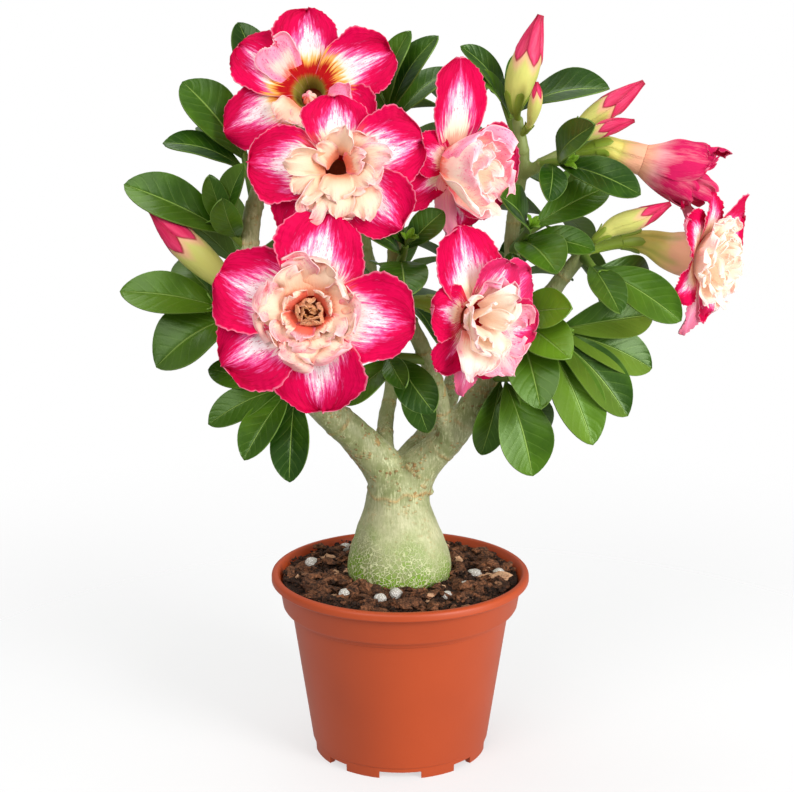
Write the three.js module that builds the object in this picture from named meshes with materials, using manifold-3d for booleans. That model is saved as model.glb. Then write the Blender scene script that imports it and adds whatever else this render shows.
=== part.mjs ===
// A desert rose (adenium) with a swollen trunk, growing in a round plastic pot.
// Millimetres, +Z up. Places are given from the pot's axis, with the pot's foot at height 0.
// The viewer's side of the plant is -Y, and +X is the viewer's right.

import * as THREE from 'three';
import { mergeVertices } from 'three/addons/utils/BufferGeometryUtils.js';
import Module from 'manifold-3d';

const wasm = await Module();
wasm.setup();

// Driving dimensions
const GAP = 0.3; // clearance between pieces that touch

const POT = {
  height: 86.2,
  lipRadius: 60,
  lipHeight: 4.2,
  lipWidth: 3.4,
  bandTopRadius: 56.6,
  bandRadius: 54.8,
  bandBottom: 69,
  stepHeight: 4.5,
  bodyRadius: 50.6,
  footRadius: 41.1,
  skirtHeight: 5,
  skirtStep: 0.5,
  wall: 1.6,
  sides: 30,
};
const NOTCH = { height: 3.2, wide: 19, narrow: 11, count: 8 };
const DRAIN = { radius: 4, ring: 24, count: 4 };

const SOIL = {
  top: 81.6,
  edgeRise: 0.8,
  edgeOut: 1.4,
  rings: [46, 37, 26, 14],
  lump: 1.1,
  chips: 9,
  chipLength: 9,
  chipHeight: 2.6,
  chipsFrom: 29,
  chipsTo: 47,
};
const PERLITE = {
  radius: 2.9,
  flatness: 0.84,
  seat: 1.3, // how far a grain's middle stands above the soil
  clear: 0.42, // the dimple round a grain
  places: [[-27, 41], [-42, 13], [-25, -27], [-9, -36], [21, -29], [35, 2], [46, -1], [-2, -30], [30, -18]],
};

const TRUNK = {
  heights: [52, 60, 70, 79, 86, 92, 99, 106, 113, 120, 127, 132, 136],
  radii: [3, 10, 17, 21.5, 24, 24.6, 23.8, 21.2, 18, 15.4, 14.1, 12.8, 9],
  sway: 1.2,
  sides: 12,
  steps: 13,
};

const LEAF = { widthToLength: 0.46, rib: 1.2, edge: 0.6, fold: 0.3, arch: 0.1, sunk: 0.03 };
const LEAVES = { from: 0.36, to: 0.98, up: 0.7, forward: 0.5, near: -1, far: 0.4 };
const LEAF_SHAPE = { base: 0.1, slim: 1.8, widest: 0.66, tip: 0.12 };
const LEAF_ROWS = [0, 0.42, 0.8, 1];
const LEAF_COLUMNS = [-1, 0, 1];

const PETAL = { thickness: 0.8, base: 8, overlap: 0.16, cup: 0.008, wave: 1.3, waves: 7 };
const PETAL_SHAPE = { base: 0.26, slim: 1.1, widest: 0.6, tip: 0.16 };
const PETAL_ROWS = [0, 0.45, 0.83, 1];
const PETAL_COLUMNS = [-1, 0, 1];

// The inner petals of a double bloom: one crinkled ribbon wound round and round the throat
const RUFFLE = {
  thickness: 0.7,
  base: 6,
  start: -0.5,
  inwards: 1.7, // how much nearer the axis one turn takes the ribbon's foot
  shorten: 0.2,
  steepen: 24,
  curl: 0.4,
  lobes: 5,
  lobeLength: 0.1,
  lobeLean: 0.18,
  sway: 0.08,
  crinkle: 0.1,
  stepsPerCrinkle: 3,
};
const RUFFLE_ROWS = [0, 0.5, 1];

const THROAT = { radius: 9, bottomRadius: 6.4, top: 0.4, depth: 11, wall: 1.1, sides: 8 };

const TWIG = { root: 2.6, tip: 1.5, sides: 4 };
const NECK = { radii: [6.4, 5, 3.8, 3.6, 1.5], straight: 7, sides: 7, steps: 6 };

// Colours
const COLOURS = {
  terracotta: 0xb9552e,
  soil: 0x3b261b,
  perlite: 0xe6e2d8,
  bark: 0x9aa272,
  leaf: 0x2f6b2b,
  crimson: 0xc8173f,
  cream: 0xf3c9a8,
  neck: 0xc9b356,
  bud: 0xd8415f,
};

// Branches: the line of each, and its radius along that line
const BRANCHES = [
  { line: [[-1, 0, 124], [-8, -1, 136], [-16, -3, 146], [-25, -6, 156], [-35, -12, 167], [-47, -18, 184],
    [-58, -24, 205], [-64, -26, 228], [-64, -26, 249], [-59, -24, 268], [-53, -18, 284]],
  radii: [11.8, 9.8, 8.2, 7.5, 7.1, 6.4, 5.4, 4.6, 4, 3.6, 3], steps: 12, sides: 7 },
  { line: [[2, 0, 124], [8, -2, 135], [15, -4, 143], [24, -8, 153], [35, -10, 171], [46, -8, 189],
    [54, -6, 202], [64, -8, 214], [75, -10, 229], [83, -12, 239]],
  radii: [11.8, 9.4, 7.8, 6.8, 6.2, 5.5, 4.8, 4, 3.4, 2.8], steps: 10, sides: 7 },
  { line: [[46, -8, 189], [50, -3, 203], [51, 0, 217], [50, 4, 239], [52, 4, 259], [54, 0, 276], [51, 0, 294]],
    radii: [4.6, 4.2, 3.8, 3.5, 3.2, 3, 2.6], steps: 6, sides: 5 },
  { line: [[53, 2, 268], [64, -6, 275], [75, -10, 281]], radii: [2.8, 2.8, 2.6], steps: 3, sides: 5 },
  { line: [[21, -9, 154], [17, -16, 173], [13, -22, 187], [6, -29, 204], [-2, -31, 222], [-2, -29, 245],
    [4, -24, 268], [2, -14, 285]],
  radii: [4.6, 4, 3.6, 3.4, 3.2, 3, 2.8, 2.4], steps: 8, sides: 5 },
  { line: [[2, 4, 136], [15, 18, 149], [26, 34, 169], [31, 50, 200], [30, 56, 228], [34, 52, 256]],
    radii: [6.5, 5.4, 4.6, 4, 3.6, 3], steps: 6, sides: 5 },
  { line: [[-7, 4, 140], [-7, 16, 152], [-4, 30, 168], [-6, 46, 192], [-14, 56, 218], [-18, 56, 244],
    [-16, 46, 268]],
  radii: [4.6, 3.8, 3.5, 3.4, 3.2, 3, 2.6], steps: 7, sides: 5 },
];

// Leafy shoots on the near side: the stem's line, and the tip of each leaf from the lowest upwards,
// with its width as a share of its length where it is a broad one
const NEAR_SHOOTS = [
  { name: 'shoot-left-high', stem: [[-62, -25, 260], [-67, -20, 280]],
    tips: [[-99, -34, 284], [-92, -22, 309, 0.56], [-88, 4, 290]] },
  { name: 'shoot-left-tip', stem: [[-64, -26, 238], [-74, -30, 248]],
    tips: [[-74, -42, 262, 0.6], [-116, -34, 267], [-80, -36, 271], [-64, -42, 276]] },
  { name: 'shoot-left-mid', stem: [[-60, -24, 208], [-76, -30, 214]],
    tips: [[-104, -40, 190, 0.68], [-96, -10, 196], [-119, -36, 222], [-98, -4, 232]] },
  { name: 'shoot-left-low', stem: [[-40, -14, 174], [-52, -30, 180]],
    tips: [[-48, -42, 140], [-67, -46, 151], [-83, -36, 164], [-84, -24, 186]] },
  { name: 'shoot-left-crown', stem: [[-55, -20, 277], [-58, 0, 300]],
    tips: [[-64, 28, 314], [-70, -2, 334], [-34, 16, 330]] },
  { name: 'shoot-mid-low', stem: [[12, -23, 190], [-6, -38, 195]],
    tips: [[12, -34, 160], [-24, -46, 175], [14, -52, 173, 0.56], [2, -55, 184, 0.5]] },
  { name: 'shoot-mid', stem: [[-2, -31, 228], [2, -42, 242]],
    tips: [[2, -66, 224, 0.66], [-16, -58, 250], [18, -38, 256, 0.6], [-12, -48, 264]] },
  { name: 'shoot-top', stem: [[2, -13, 280], [-6, -4, 298]],
    tips: [[-18, 10, 318], [24, 8, 314], [16, -12, 328], [4, -14, 330]] },
  { name: 'shoot-right-low', stem: [[41, -10, 180], [48, -24, 182]],
    tips: [[36, -22, 147], [58, -32, 140, 0.56], [46, -8, 150], [66, -16, 156]] },
  { name: 'shoot-right-front', stem: [[49, -3, 206], [52, -18, 207]],
    tips: [[60, -42, 172, 0.5], [72, -42, 194, 0.56], [73, -38, 215, 0.6], [48, -14, 236]] },
  { name: 'shoot-right-side', stem: [[56, -7, 204], [68, -15, 202]],
    tips: [[84, -32, 154], [100, -24, 165], [96, 14, 172], [112, -12, 184], [113, -4, 207]] },
  { name: 'shoot-right-mid', stem: [[80, -12, 234], [84, -20, 230]],
    tips: [[92, -46, 214], [120, -34, 209], [112, 2, 222]] },
  { name: 'shoot-right-in', stem: [[50, 3, 234], [56, -12, 246]],
    tips: [[66, -38, 230, 0.6], [84, -22, 238], [42, -36, 262, 0.6], [92, -4, 264]] },
  { name: 'shoot-right-up', stem: [[62, -5, 274], [69, -13, 275]],
    tips: [[62, -36, 260], [102, -26, 262], [80, -42, 292], [90, 18, 280]] },
  { name: 'shoot-right-crown', stem: [[52, 2, 284], [46, 12, 300]],
    tips: [[30, -4, 313], [90, -8, 306, 0.5], [26, 0, 324], [62, 26, 322]] },
];

// Leafy shoots on the far side: leaves in a spiral round the stem's tip
const FAR_SHOOTS = [
  { name: 'shoot-back-left-side', stem: [[-64, -25, 222], [-70, -4, 228], [-76, 14, 232]],
    leaves: 5, turn: 40 },
  { name: 'shoot-back-left-in', stem: [[-7, 46, 192], [-6, 36, 206], [0, 26, 218]],
    leaves: 6, turn: 0 },
  { name: 'shoot-back-left-high', stem: [[-17, 48, 264], [-26, 50, 282], [-32, 50, 292]],
    leaves: 5, turn: 70 },
  { name: 'shoot-back-right-high', stem: [[34, 52, 252], [32, 54, 268], [26, 52, 288]],
    leaves: 5, turn: 20 },
  { name: 'shoot-back-right-in', stem: [[30, 48, 196], [42, 40, 208], [52, 32, 220]],
    leaves: 6, turn: 110 },
  { name: 'shoot-back-right-side', stem: [[51, 4, 240], [66, 22, 246], [76, 32, 250]],
    leaves: 5, turn: 225 },
];
const SPIRAL = { goldenAngle: 137.5, longest: 50, shortest: 28, lowest: 100, highest: 30 };

// Blooms: centre and facing of each, its five petals as [angle, length], and its inner ruffle.
// The neck is the line of the corolla's tube and stalk, from the throat back to the branch.
const BLOOMS = [
  { name: 'bloom-1', centre: [-38, -34, 305], facing: [-0.08, -0.95, 0.28],
    petals: [[92, 30], [24, 30], [-40, 23], [216, 29], [152, 31]], width: 30, rise: 8, reflex: 0.16,
    ruffle: { reach: 9, rise: 58, crinkles: 8, from: 180, turns: 0.5, seed: 11 },
    neck: [[-41, -13, 296], [-47, -14, 290], [-54, -19, 282]] },
  { name: 'bloom-2', centre: [-25, -64, 276], facing: [0.05, -0.95, 0.2],
    petals: [[90, 27], [18, 30], [-45, 27], [245, 26], [180, 31]], width: 29, rise: 6, reflex: 0.2,
    ruffle: { reach: 18, rise: 54, crinkles: 6, from: 250, turns: 1.8, seed: 22 },
    neck: [[-27, -42, 271], [-38, -32, 268], [-56, -25, 268]] },
  { name: 'bloom-3', centre: [-36, -80, 220], facing: [-0.04, -0.98, 0.12],
    petals: [[78, 32], [158, 32], [212, 33], [277, 32], [355, 34]], width: 31, rise: 4, reflex: 0.12,
    ruffle: { reach: 19.5, rise: 48, crinkles: 7, from: 250, turns: 1.8, seed: 33 },
    neck: [[-37, -52, 217], [-46, -36, 212], [-57, -25, 209]] },
  { name: 'bloom-4', centre: [23, -30, 275], facing: [0.64, -0.76, -0.12],
    petals: [[94, 37], [160, 24], [222, 30], [290, 26], [30, 28]], width: 27, rise: 2, reflex: 0.4,
    ruffle: { reach: 20, rise: 58, crinkles: 6, from: 120, turns: 1.8, seed: 44 },
    neck: [[10, -14, 279], [7, -14, 277], [4, -16, 275]] },
  { name: 'bloom-5', centre: [31, -50, 213], facing: [0.56, -0.82, -0.05],
    petals: [[98, 35], [170, 20], [228, 30], [282, 29], [32, 27]], width: 29, rise: 6, reflex: 0.34,
    ruffle: { reach: 16, rise: 56, crinkles: 7, from: 120, turns: 1.8, seed: 55 },
    neck: [[15, -33, 216], [7, -31, 217], [0, -31, 217]] },
  { name: 'bloom-6', centre: [136, -14, 233], facing: [0.82, -0.56, -0.12],
    petals: [[80, 22], [150, 21], [222, 22], [285, 25], [10, 23]], width: 23, rise: 16, reflex: 0.16,
    ruffle: { reach: 16, rise: 60, crinkles: 6, from: 120, turns: 1.8, seed: 66 },
    neck: [[110, -2, 239], [97, -7, 240], [82, -10, 236]] },
  { name: 'bloom-7', centre: [114, -12, 273], facing: [0.93, -0.1, -0.3],
    petals: [[80, 20], [152, 20], [224, 20], [296, 20], [8, 20]], width: 17, rise: 72, reflex: 0.16,
    ruffle: null,
    neck: [[98, -12, 280], [86, -12, 282], [75, -10, 278]] },
];

// Buds: the line from stalk to tip, and the radius along it
const BUD = { radii: [1.3, 1.5, 3.1, 4.5, 5.8, 6.6, 6, 4, 1.2], stalk: 2, sides: 6, steps: 7 };
const BUDS = [
  { name: 'bud-1', size: 1.12,
    line: [[-62, -26, 222], [-72, -34, 224], [-80, -37, 232], [-93, -39, 245], [-104, -40, 257]] },
  { name: 'bud-2', size: 1.12,
    line: [[52, 0, 291], [50, -4, 298], [51, -4, 306], [55, -5, 320], [60, -6, 337]] },
  { name: 'bud-3', size: 0.5,
    line: [[53, -1, 286], [56, -8, 291], [57, -12, 296], [58, -15, 303], [58, -16, 309]] },
  { name: 'bud-4', size: 0.86,
    line: [[73, -9, 280], [76, -10, 288], [82, -10, 293], [93, -12, 301], [104, -13, 309]] },
  { name: 'bud-5', size: 0.56,
    line: [[73, -10, 279], [77, -17, 285], [83, -19, 288], [91, -21, 291], [99, -23, 293]] },
  { name: 'bud-6', size: 0.8,
    line: [[81, -14, 238], [87, -18, 244], [93, -18, 248], [104, -20, 252], [116, -21, 258]] },
];

// Seeded random numbers from 0 to 1, the same on every run
function randomNumbers(seed) {
  let state = seed >>> 0;
  return () => {
    state = (state + 0x6d2b79f5) >>> 0;
    let mixed = Math.imul(state ^ (state >>> 15), 1 | state);
    mixed = (mixed + Math.imul(mixed ^ (mixed >>> 7), 61 | mixed)) ^ mixed;
    return ((mixed ^ (mixed >>> 14)) >>> 0) / 4294967296;
  };
}

const vector = (place) => new THREE.Vector3(...place);
const radians = THREE.MathUtils.degToRad;

// A closed solid from a geometry, and a geometry from a solid
function solid(geometry) {
  geometry.deleteAttribute('normal');
  geometry.deleteAttribute('uv');
  const merged = mergeVertices(geometry);
  return new wasm.Manifold(new wasm.Mesh({
    numProp: 3,
    vertProperties: Float32Array.from(merged.attributes.position.array),
    triVerts: Uint32Array.from(merged.index.array),
  }));
}

function geometryOf(body) {
  const mesh = body.getMesh();
  const geometry = new THREE.BufferGeometry();
  geometry.setAttribute('position', new THREE.BufferAttribute(mesh.vertProperties, mesh.numProp));
  geometry.setIndex(new THREE.BufferAttribute(mesh.triVerts, 1));
  geometry.computeVertexNormals();
  return geometry;
}

const fuse = (bodies) => wasm.Manifold.union(bodies);

// The biggest body of a cut piece, without the scraps
function whole(body) {
  const bodies = body.decompose();
  return bodies.sort((one, other) => other.volume() - one.volume())[0];
}

function finish(name, geometry, colour, roughness) {
  const material = new THREE.MeshStandardMaterial({ color: colour, roughness, metalness: 0 });
  const mesh = new THREE.Mesh(geometry, material);
  mesh.name = name;
  return mesh;
}

// A stem: a cylinder bent along a curve, its radius following the list
function limb(places, radii, sides, steps) {
  const curve = new THREE.CatmullRomCurve3(places.map(vector));
  const frames = curve.computeFrenetFrames(steps);
  const geometry = new THREE.CylinderGeometry(1, 1, 1, sides, steps);
  const position = geometry.attributes.position;
  for (let i = 0; i < position.count; i += 1) {
    const ring = steps - Math.round((position.getY(i) + 0.5) * steps);
    const along = curve.getUtoTmapping(ring / steps) * (radii.length - 1);
    const below = Math.min(Math.floor(along), radii.length - 2);
    const radius = THREE.MathUtils.lerp(radii[below], radii[below + 1], along - below);
    const side = frames.normals[ring];
    const other = new THREE.Vector3().crossVectors(frames.tangents[ring], side);
    const place = curve.getPointAt(ring / steps)
      .addScaledVector(side, position.getX(i) * radius)
      .addScaledVector(other, position.getZ(i) * radius);
    position.setXYZ(i, place.x, place.y, place.z);
  }
  return solid(geometry);
}

// A thin closed solid round the surface(u, v), split into triangles alike on both faces
function blade(surface, thickness, rows, columns) {
  const nudge = 1e-3;
  const faces = [[], []];
  rows.forEach((u) => columns.forEach((v) => {
    const place = surface(u, v);
    const along = surface(u + nudge, v).sub(surface(u - nudge, v));
    const across = surface(u, v + nudge).sub(surface(u, v - nudge));
    const lift = along.cross(across).normalize().multiplyScalar(thickness(u, v) / 2);
    faces[0].push(place.clone().add(lift));
    faces[1].push(place.clone().sub(lift));
  }));
  const wide = columns.length;
  const last = rows.length - 1;
  const back = rows.length * wide;
  const corner = (i, j) => i * wide + j;
  const triangles = [];
  const rim = [];
  for (let j = 0; j < wide - 1; j += 1) {
    for (let i = 0; i < last; i += 1) {
      const [near, far] = [corner(i, j), corner(i + 1, j)];
      const [beside, across] = [corner(i, j + 1), corner(i + 1, j + 1)];
      triangles.push([near, far, across], [near, across, beside]);
      triangles.push([back + near, back + across, back + far], [back + near, back + beside, back + across]);
    }
    rim.push([corner(last, j), corner(last, j + 1)], [corner(0, j + 1), corner(0, j)]);
  }
  for (let i = 0; i < last; i += 1) {
    rim.push([corner(i, 0), corner(i + 1, 0)], [corner(i + 1, wide - 1), corner(i, wide - 1)]);
  }
  rim.forEach(([from, to]) => {
    triangles.push([to, from, back + from], [to, back + from, back + to]);
  });
  const geometry = new THREE.BufferGeometry().setFromPoints(faces.flat());
  geometry.setIndex(triangles.flat());
  return solid(geometry);
}

// How wide a blade is at u, from its narrow base over its widest place to its round end
function outline(u, { base, slim, widest, tip }) {
  const clamped = THREE.MathUtils.clamp(u, 0, 1);
  if (clamped < widest) {
    return base + (1 - base) * Math.sin((clamped / widest) * Math.PI / 2) ** slim;
  }
  const beyond = (clamped - widest) / (1 - widest);
  return tip + (1 - tip) * Math.sqrt(1 - beyond ** 2.2);
}

// The pot: a turned wall with a rolled lip and a band, a raised floor and a notched skirt
function potBody() {
  const { height, lipRadius, lipHeight, lipWidth, wall, footRadius, skirtHeight } = POT;
  const bandBase = POT.bandBottom - POT.stepHeight;
  const inside = lipRadius - lipWidth;
  const profile = [
    [0, skirtHeight - wall / 2],
    [footRadius - 3 * wall, skirtHeight - wall / 2],
    [footRadius - 2 * wall, 0],
    [footRadius - POT.skirtStep, 0],
    [footRadius - POT.skirtStep / 2, skirtHeight],
    [footRadius + POT.skirtStep, skirtHeight + 0.6],
    [POT.bodyRadius, bandBase],
    [(POT.bodyRadius + POT.bandRadius) / 2, bandBase + POT.stepHeight * 0.6],
    [POT.bandRadius, POT.bandBottom],
    [POT.bandTopRadius, height - lipHeight],
    [lipRadius, height - lipHeight],
    [lipRadius, height - 1.2],
    [lipRadius - 1.2, height],
    [inside, height],
    [POT.bandRadius - wall, POT.bandBottom + 1],
    [POT.bodyRadius - wall, bandBase + 1],
    [footRadius - wall, skirtHeight + wall],
    [0, skirtHeight + wall],
  ];
  const turned = new THREE.LatheGeometry(profile.map(([r, z]) => new THREE.Vector2(r, z)), POT.sides);
  let body = solid(turned.rotateX(Math.PI / 2));
  for (let i = 0; i < NOTCH.count; i += 1) {
    const width = i % 2 === 0 ? NOTCH.wide : NOTCH.narrow;
    const notch = new THREE.BoxGeometry(4 * wall + 6, width, 2 * NOTCH.height);
    notch.translate(footRadius, 0, 0).rotateZ((i / NOTCH.count) * 2 * Math.PI);
    body = body.subtract(solid(notch));
  }
  for (let i = 0; i < DRAIN.count; i += 1) {
    const hole = new THREE.CylinderGeometry(DRAIN.radius, DRAIN.radius, 4 * wall, 12).rotateX(Math.PI / 2);
    hole.translate(DRAIN.ring, 0, skirtHeight).rotateZ(((i + 0.5) / DRAIN.count) * 2 * Math.PI);
    body = body.subtract(solid(hole));
  }
  return body;
}

// How far the soil's top stands over or under its mean height at a place
function soilLump(x, y) {
  return SOIL.lump * (Math.sin(x * 0.31 + 1.7 * Math.sin(y * 0.23)) + Math.sin(y * 0.37 + x * 0.11));
}

// The mix of bark and peat that fills the pot, with chips half sunk in its lumpy top
function soilBody() {
  const clear = POT.wall + GAP + 0.05;
  const bandBase = POT.bandBottom - POT.stepHeight;
  const profile = [
    [0, POT.skirtHeight + clear],
    [POT.footRadius - clear, POT.skirtHeight + clear],
    [POT.bodyRadius - clear, bandBase + 1],
    [POT.bandRadius - clear, POT.bandBottom + 1],
    [POT.bandRadius - clear + SOIL.edgeOut, SOIL.top + SOIL.edgeRise],
    ...SOIL.rings.map((ring) => [ring, SOIL.top]),
    [0, SOIL.top],
  ];
  const turned = new THREE.LatheGeometry(profile.map(([r, z]) => new THREE.Vector2(r, z)), POT.sides);
  turned.rotateX(Math.PI / 2);
  const position = turned.attributes.position;
  for (let i = 0; i < position.count; i += 1) {
    const [x, y, z] = [position.getX(i), position.getY(i), position.getZ(i)];
    if (z === Math.fround(SOIL.top)) {
      position.setZ(i, z + soilLump(x, y));
    }
  }
  const random = randomNumbers(7);
  const pieces = [solid(turned)];
  for (let i = 0; i < SOIL.chips; i += 1) {
    const angle = random() * 2 * Math.PI;
    const radius = THREE.MathUtils.lerp(SOIL.chipsFrom, SOIL.chipsTo, Math.sqrt(random()));
    const length = SOIL.chipLength * (0.6 + 0.7 * random());
    const chip = new THREE.BoxGeometry(length, length * (0.4 + 0.3 * random()), SOIL.chipHeight);
    chip.rotateX(0.5 * (random() - 0.5)).rotateY(0.6 * (random() - 0.5)).rotateZ(Math.PI * random());
    chip.translate(radius * Math.cos(angle), radius * Math.sin(angle), SOIL.top + 0.6 + 1.2 * random());
    pieces.push(solid(chip));
  }
  return fuse(pieces);
}

function perliteBody([x, y], index, extra) {
  const random = randomNumbers(90 + index);
  const size = PERLITE.radius * (0.85 + 0.4 * random());
  const grain = new THREE.IcosahedronGeometry(size + extra, 0);
  grain.scale(1, 0.85 + 0.2 * random(), PERLITE.flatness).rotateZ(Math.PI * random());
  return solid(grain.translate(x, y, SOIL.top + soilLump(x, y) + PERLITE.seat));
}

// The swollen trunk with its branches, all in one piece, each swollen further by extra
function plantBody(extra) {
  const line = TRUNK.heights.map((height) => [TRUNK.sway * Math.sin(height / 25), 0, height]);
  const parts = [limb(line, TRUNK.radii.map((radius) => radius + extra), TRUNK.sides, TRUNK.steps)];
  BRANCHES.forEach((branch) => {
    parts.push(limb(branch.line, branch.radii.map((radius) => radius + extra), branch.sides, branch.steps));
  });
  return fuse(parts);
}

// A leaf from base to tip, folded along its rib and arched, with its upper face towards facing
function leafBody(root, [x, y, z, widthToLength = LEAF.widthToLength], facing) {
  const tip = new THREE.Vector3(x, y, z);
  const base = root.clone().lerp(tip, LEAF.sunk);
  const along = tip.clone().sub(base);
  const length = along.length();
  along.divideScalar(length);
  const up = facing.clone().addScaledVector(along, -facing.dot(along)).normalize();
  const side = new THREE.Vector3().crossVectors(up, along);
  const half = (widthToLength * length) / 2;
  const surface = (u, v) => {
    const wide = half * outline(u, LEAF_SHAPE) * v;
    return base.clone()
      .addScaledVector(along, u * length)
      .addScaledVector(side, wide)
      .addScaledVector(up, LEAF.fold * Math.abs(wide) + LEAF.arch * length * Math.sin(Math.PI * u));
  };
  const thickness = (u, v) => (Math.abs(v) < 0.5 ? LEAF.rib : LEAF.edge);
  return blade(surface, thickness, LEAF_ROWS, LEAF_COLUMNS);
}

// The place on a stem where its leaf of this number starts, of so many
function leafRoot(curve, number, count) {
  return curve.getPoint(THREE.MathUtils.lerp(LEAVES.from, LEAVES.to, (number + 1) / count));
}

// A stem's leaves look up, forward along the stem, and out to their own side of the plant
function shootBody(stem, tips, out, treeClearance) {
  const curve = new THREE.CatmullRomCurve3(stem.map(vector));
  const facing = curve.getTangent(1).multiplyScalar(LEAVES.forward).add(new THREE.Vector3(0, out, LEAVES.up));
  const parts = [limb(stem, [TWIG.root, TWIG.tip], TWIG.sides, stem.length - 1)];
  tips.forEach((tip, i) => {
    parts.push(leafBody(leafRoot(curve, i, tips.length), tip, facing));
  });
  return whole(fuse(parts).subtract(treeClearance));
}

// Leaf tips in a golden-angle spiral: long and spread below, short and steep at the top
function spiralTips({ stem, leaves, turn }) {
  const curve = new THREE.CatmullRomCurve3(stem.map(vector));
  const direction = curve.getTangent(1);
  const side = new THREE.Vector3(0, 0, 1).cross(direction).normalize();
  const other = new THREE.Vector3().crossVectors(direction, side);
  return Array.from({ length: leaves }, (_, i) => {
    const share = i / (leaves - 1);
    const angle = radians(turn + i * SPIRAL.goldenAngle);
    const spread = radians(THREE.MathUtils.lerp(SPIRAL.lowest, SPIRAL.highest, share));
    const length = THREE.MathUtils.lerp(SPIRAL.longest, SPIRAL.shortest, share);
    return leafRoot(curve, i, leaves)
      .addScaledVector(direction, length * Math.cos(spread))
      .addScaledVector(side, length * Math.sin(spread) * Math.cos(angle))
      .addScaledVector(other, length * Math.sin(spread) * Math.sin(angle))
      .toArray();
  });
}

// The cup of the throat, turned round the bloom's axis and open at the top
function throatBody() {
  const { radius, bottomRadius, top, depth, wall } = THROAT;
  const profile = [
    [0, top - depth],
    [bottomRadius, top - depth],
    [radius, top],
    [radius - wall, top],
    [bottomRadius - wall, top - depth + wall],
    [0, top - depth + wall],
  ];
  const turned = new THREE.LatheGeometry(profile.map(([r, z]) => new THREE.Vector2(r, z)), THROAT.sides);
  return solid(turned.rotateX(Math.PI / 2));
}

// One petal of a bloom that faces +Z: out from the throat at its angle, waved at the edge
function petalBody(angle, length, { width, rise, reflex }) {
  const out = new THREE.Vector3(Math.cos(radians(angle)), Math.sin(radians(angle)), 0);
  const across = new THREE.Vector3(-out.y, out.x, 0);
  const lift = Math.sin(radians(rise));
  const reach = Math.cos(radians(rise));
  const surface = (u, v) => {
    const wide = (width / 2) * outline(u, PETAL_SHAPE) * v;
    const wave = PETAL.wave * u * u * v * v * Math.sin(PETAL.waves * u + angle / 9);
    const overlap = PETAL.overlap * wide * (0.3 + 0.7 * u) + PETAL.cup * wide * wide;
    const height = length * (lift * u - reflex * u * u) + overlap + wave;
    return out.clone().multiplyScalar(PETAL.base + length * reach * u)
      .addScaledVector(across, wide)
      .setZ(height);
  };
  return blade(surface, () => PETAL.thickness, PETAL_ROWS, PETAL_COLUMNS);
}

function petalsBody(bloom) {
    return fuse([throatBody(), ...bloom.petals.map(([angle, length]) => petalBody(angle, length, bloom))]);
}

// The ribbon stands up round the throat in lobes, and each turn lies inside the last
function ruffleBody({ reach, rise, crinkles, from, turns, seed }) {
  const random = randomNumbers(seed);
  const [turn, phase, drift] = [6 * random(), 6 * random(), 6 * random()];
  const steps = Math.round(RUFFLE.stepsPerCrinkle * crinkles * turns);
  const columns = Array.from({ length: steps + 1 }, (_, j) => turns * j / steps);
  const surface = (u, v) => {
    const angle = radians(from) + 2 * Math.PI * v;
    const lobe = Math.sin(RUFFLE.lobes * angle + turn);
    const sway = RUFFLE.sway * Math.sin(2 * angle + drift);
    const long = reach * u * (1 + RUFFLE.lobeLength * lobe + sway - RUFFLE.shorten * v);
    const steep = radians(rise + RUFFLE.steepen * v) + RUFFLE.lobeLean * lobe - RUFFLE.curl * u;
    const crinkle = RUFFLE.crinkle * reach * u * Math.sin(crinkles * angle + phase);
    const radius = RUFFLE.base - RUFFLE.inwards * v + long * u * Math.cos(steep) - crinkle * Math.sin(steep);
    return new THREE.Vector3(radius * Math.cos(angle), radius * Math.sin(angle),
      RUFFLE.start + long * Math.sin(steep) + crinkle * Math.cos(steep));
  };
  return blade(surface, () => RUFFLE.thickness, RUFFLE_ROWS, columns);
}

// The tube and stalk behind a bloom, with its calyx where the tube begins
function neckBody({ centre, facing, neck }, treeClearance) {
  const axis = vector(facing).normalize();
  const start = vector(centre).addScaledVector(axis, THROAT.top - THROAT.depth - GAP);
  const next = vector(centre).addScaledVector(axis, -THROAT.depth - NECK.straight);
  const line = [start.toArray(), next.toArray(), ...neck];
  return whole(limb(line, NECK.radii, NECK.sides, NECK.steps).subtract(treeClearance));
}

// The turn that takes a bloom's own +Z to the way it faces, with its top kept upwards
function bloomTurn(facing) {
  const axis = vector(facing).normalize();
  const right = new THREE.Vector3(0, 0, 1).cross(axis).normalize();
  const top = new THREE.Vector3().crossVectors(axis, right);
  return new THREE.Matrix4().makeBasis(right, top, axis);
}

const plant = new THREE.Group();
const treeClearance = plantBody(GAP);

function addPotAndSoil() {
  plant.add(finish('pot', geometryOf(potBody()), COLOURS.terracotta, 0.45));
  const dimples = PERLITE.places.map((place, i) => perliteBody(place, i, PERLITE.clear));
  const open = dimples.map((dimple) => dimple.translate([0, 0, PERLITE.radius]));
  const filled = soilBody().subtract(treeClearance).subtract(fuse([...dimples, ...open]));
  plant.add(finish('soil', geometryOf(whole(filled)), COLOURS.soil, 0.9));
  PERLITE.places.forEach((place, i) => {
    plant.add(finish(`perlite-${i + 1}`, geometryOf(perliteBody(place, i, 0)), COLOURS.perlite, 0.85));
  });
}

function addShoots() {
  NEAR_SHOOTS.forEach(({ name, stem, tips }) => {
    const body = shootBody(stem, tips, LEAVES.near, treeClearance);
    plant.add(finish(name, geometryOf(body), COLOURS.leaf, 0.35));
  });
  FAR_SHOOTS.forEach((shoot) => {
    const body = shootBody(shoot.stem, spiralTips(shoot), LEAVES.far, treeClearance);
    plant.add(finish(shoot.name, geometryOf(body), COLOURS.leaf, 0.35));
  });
}

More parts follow.
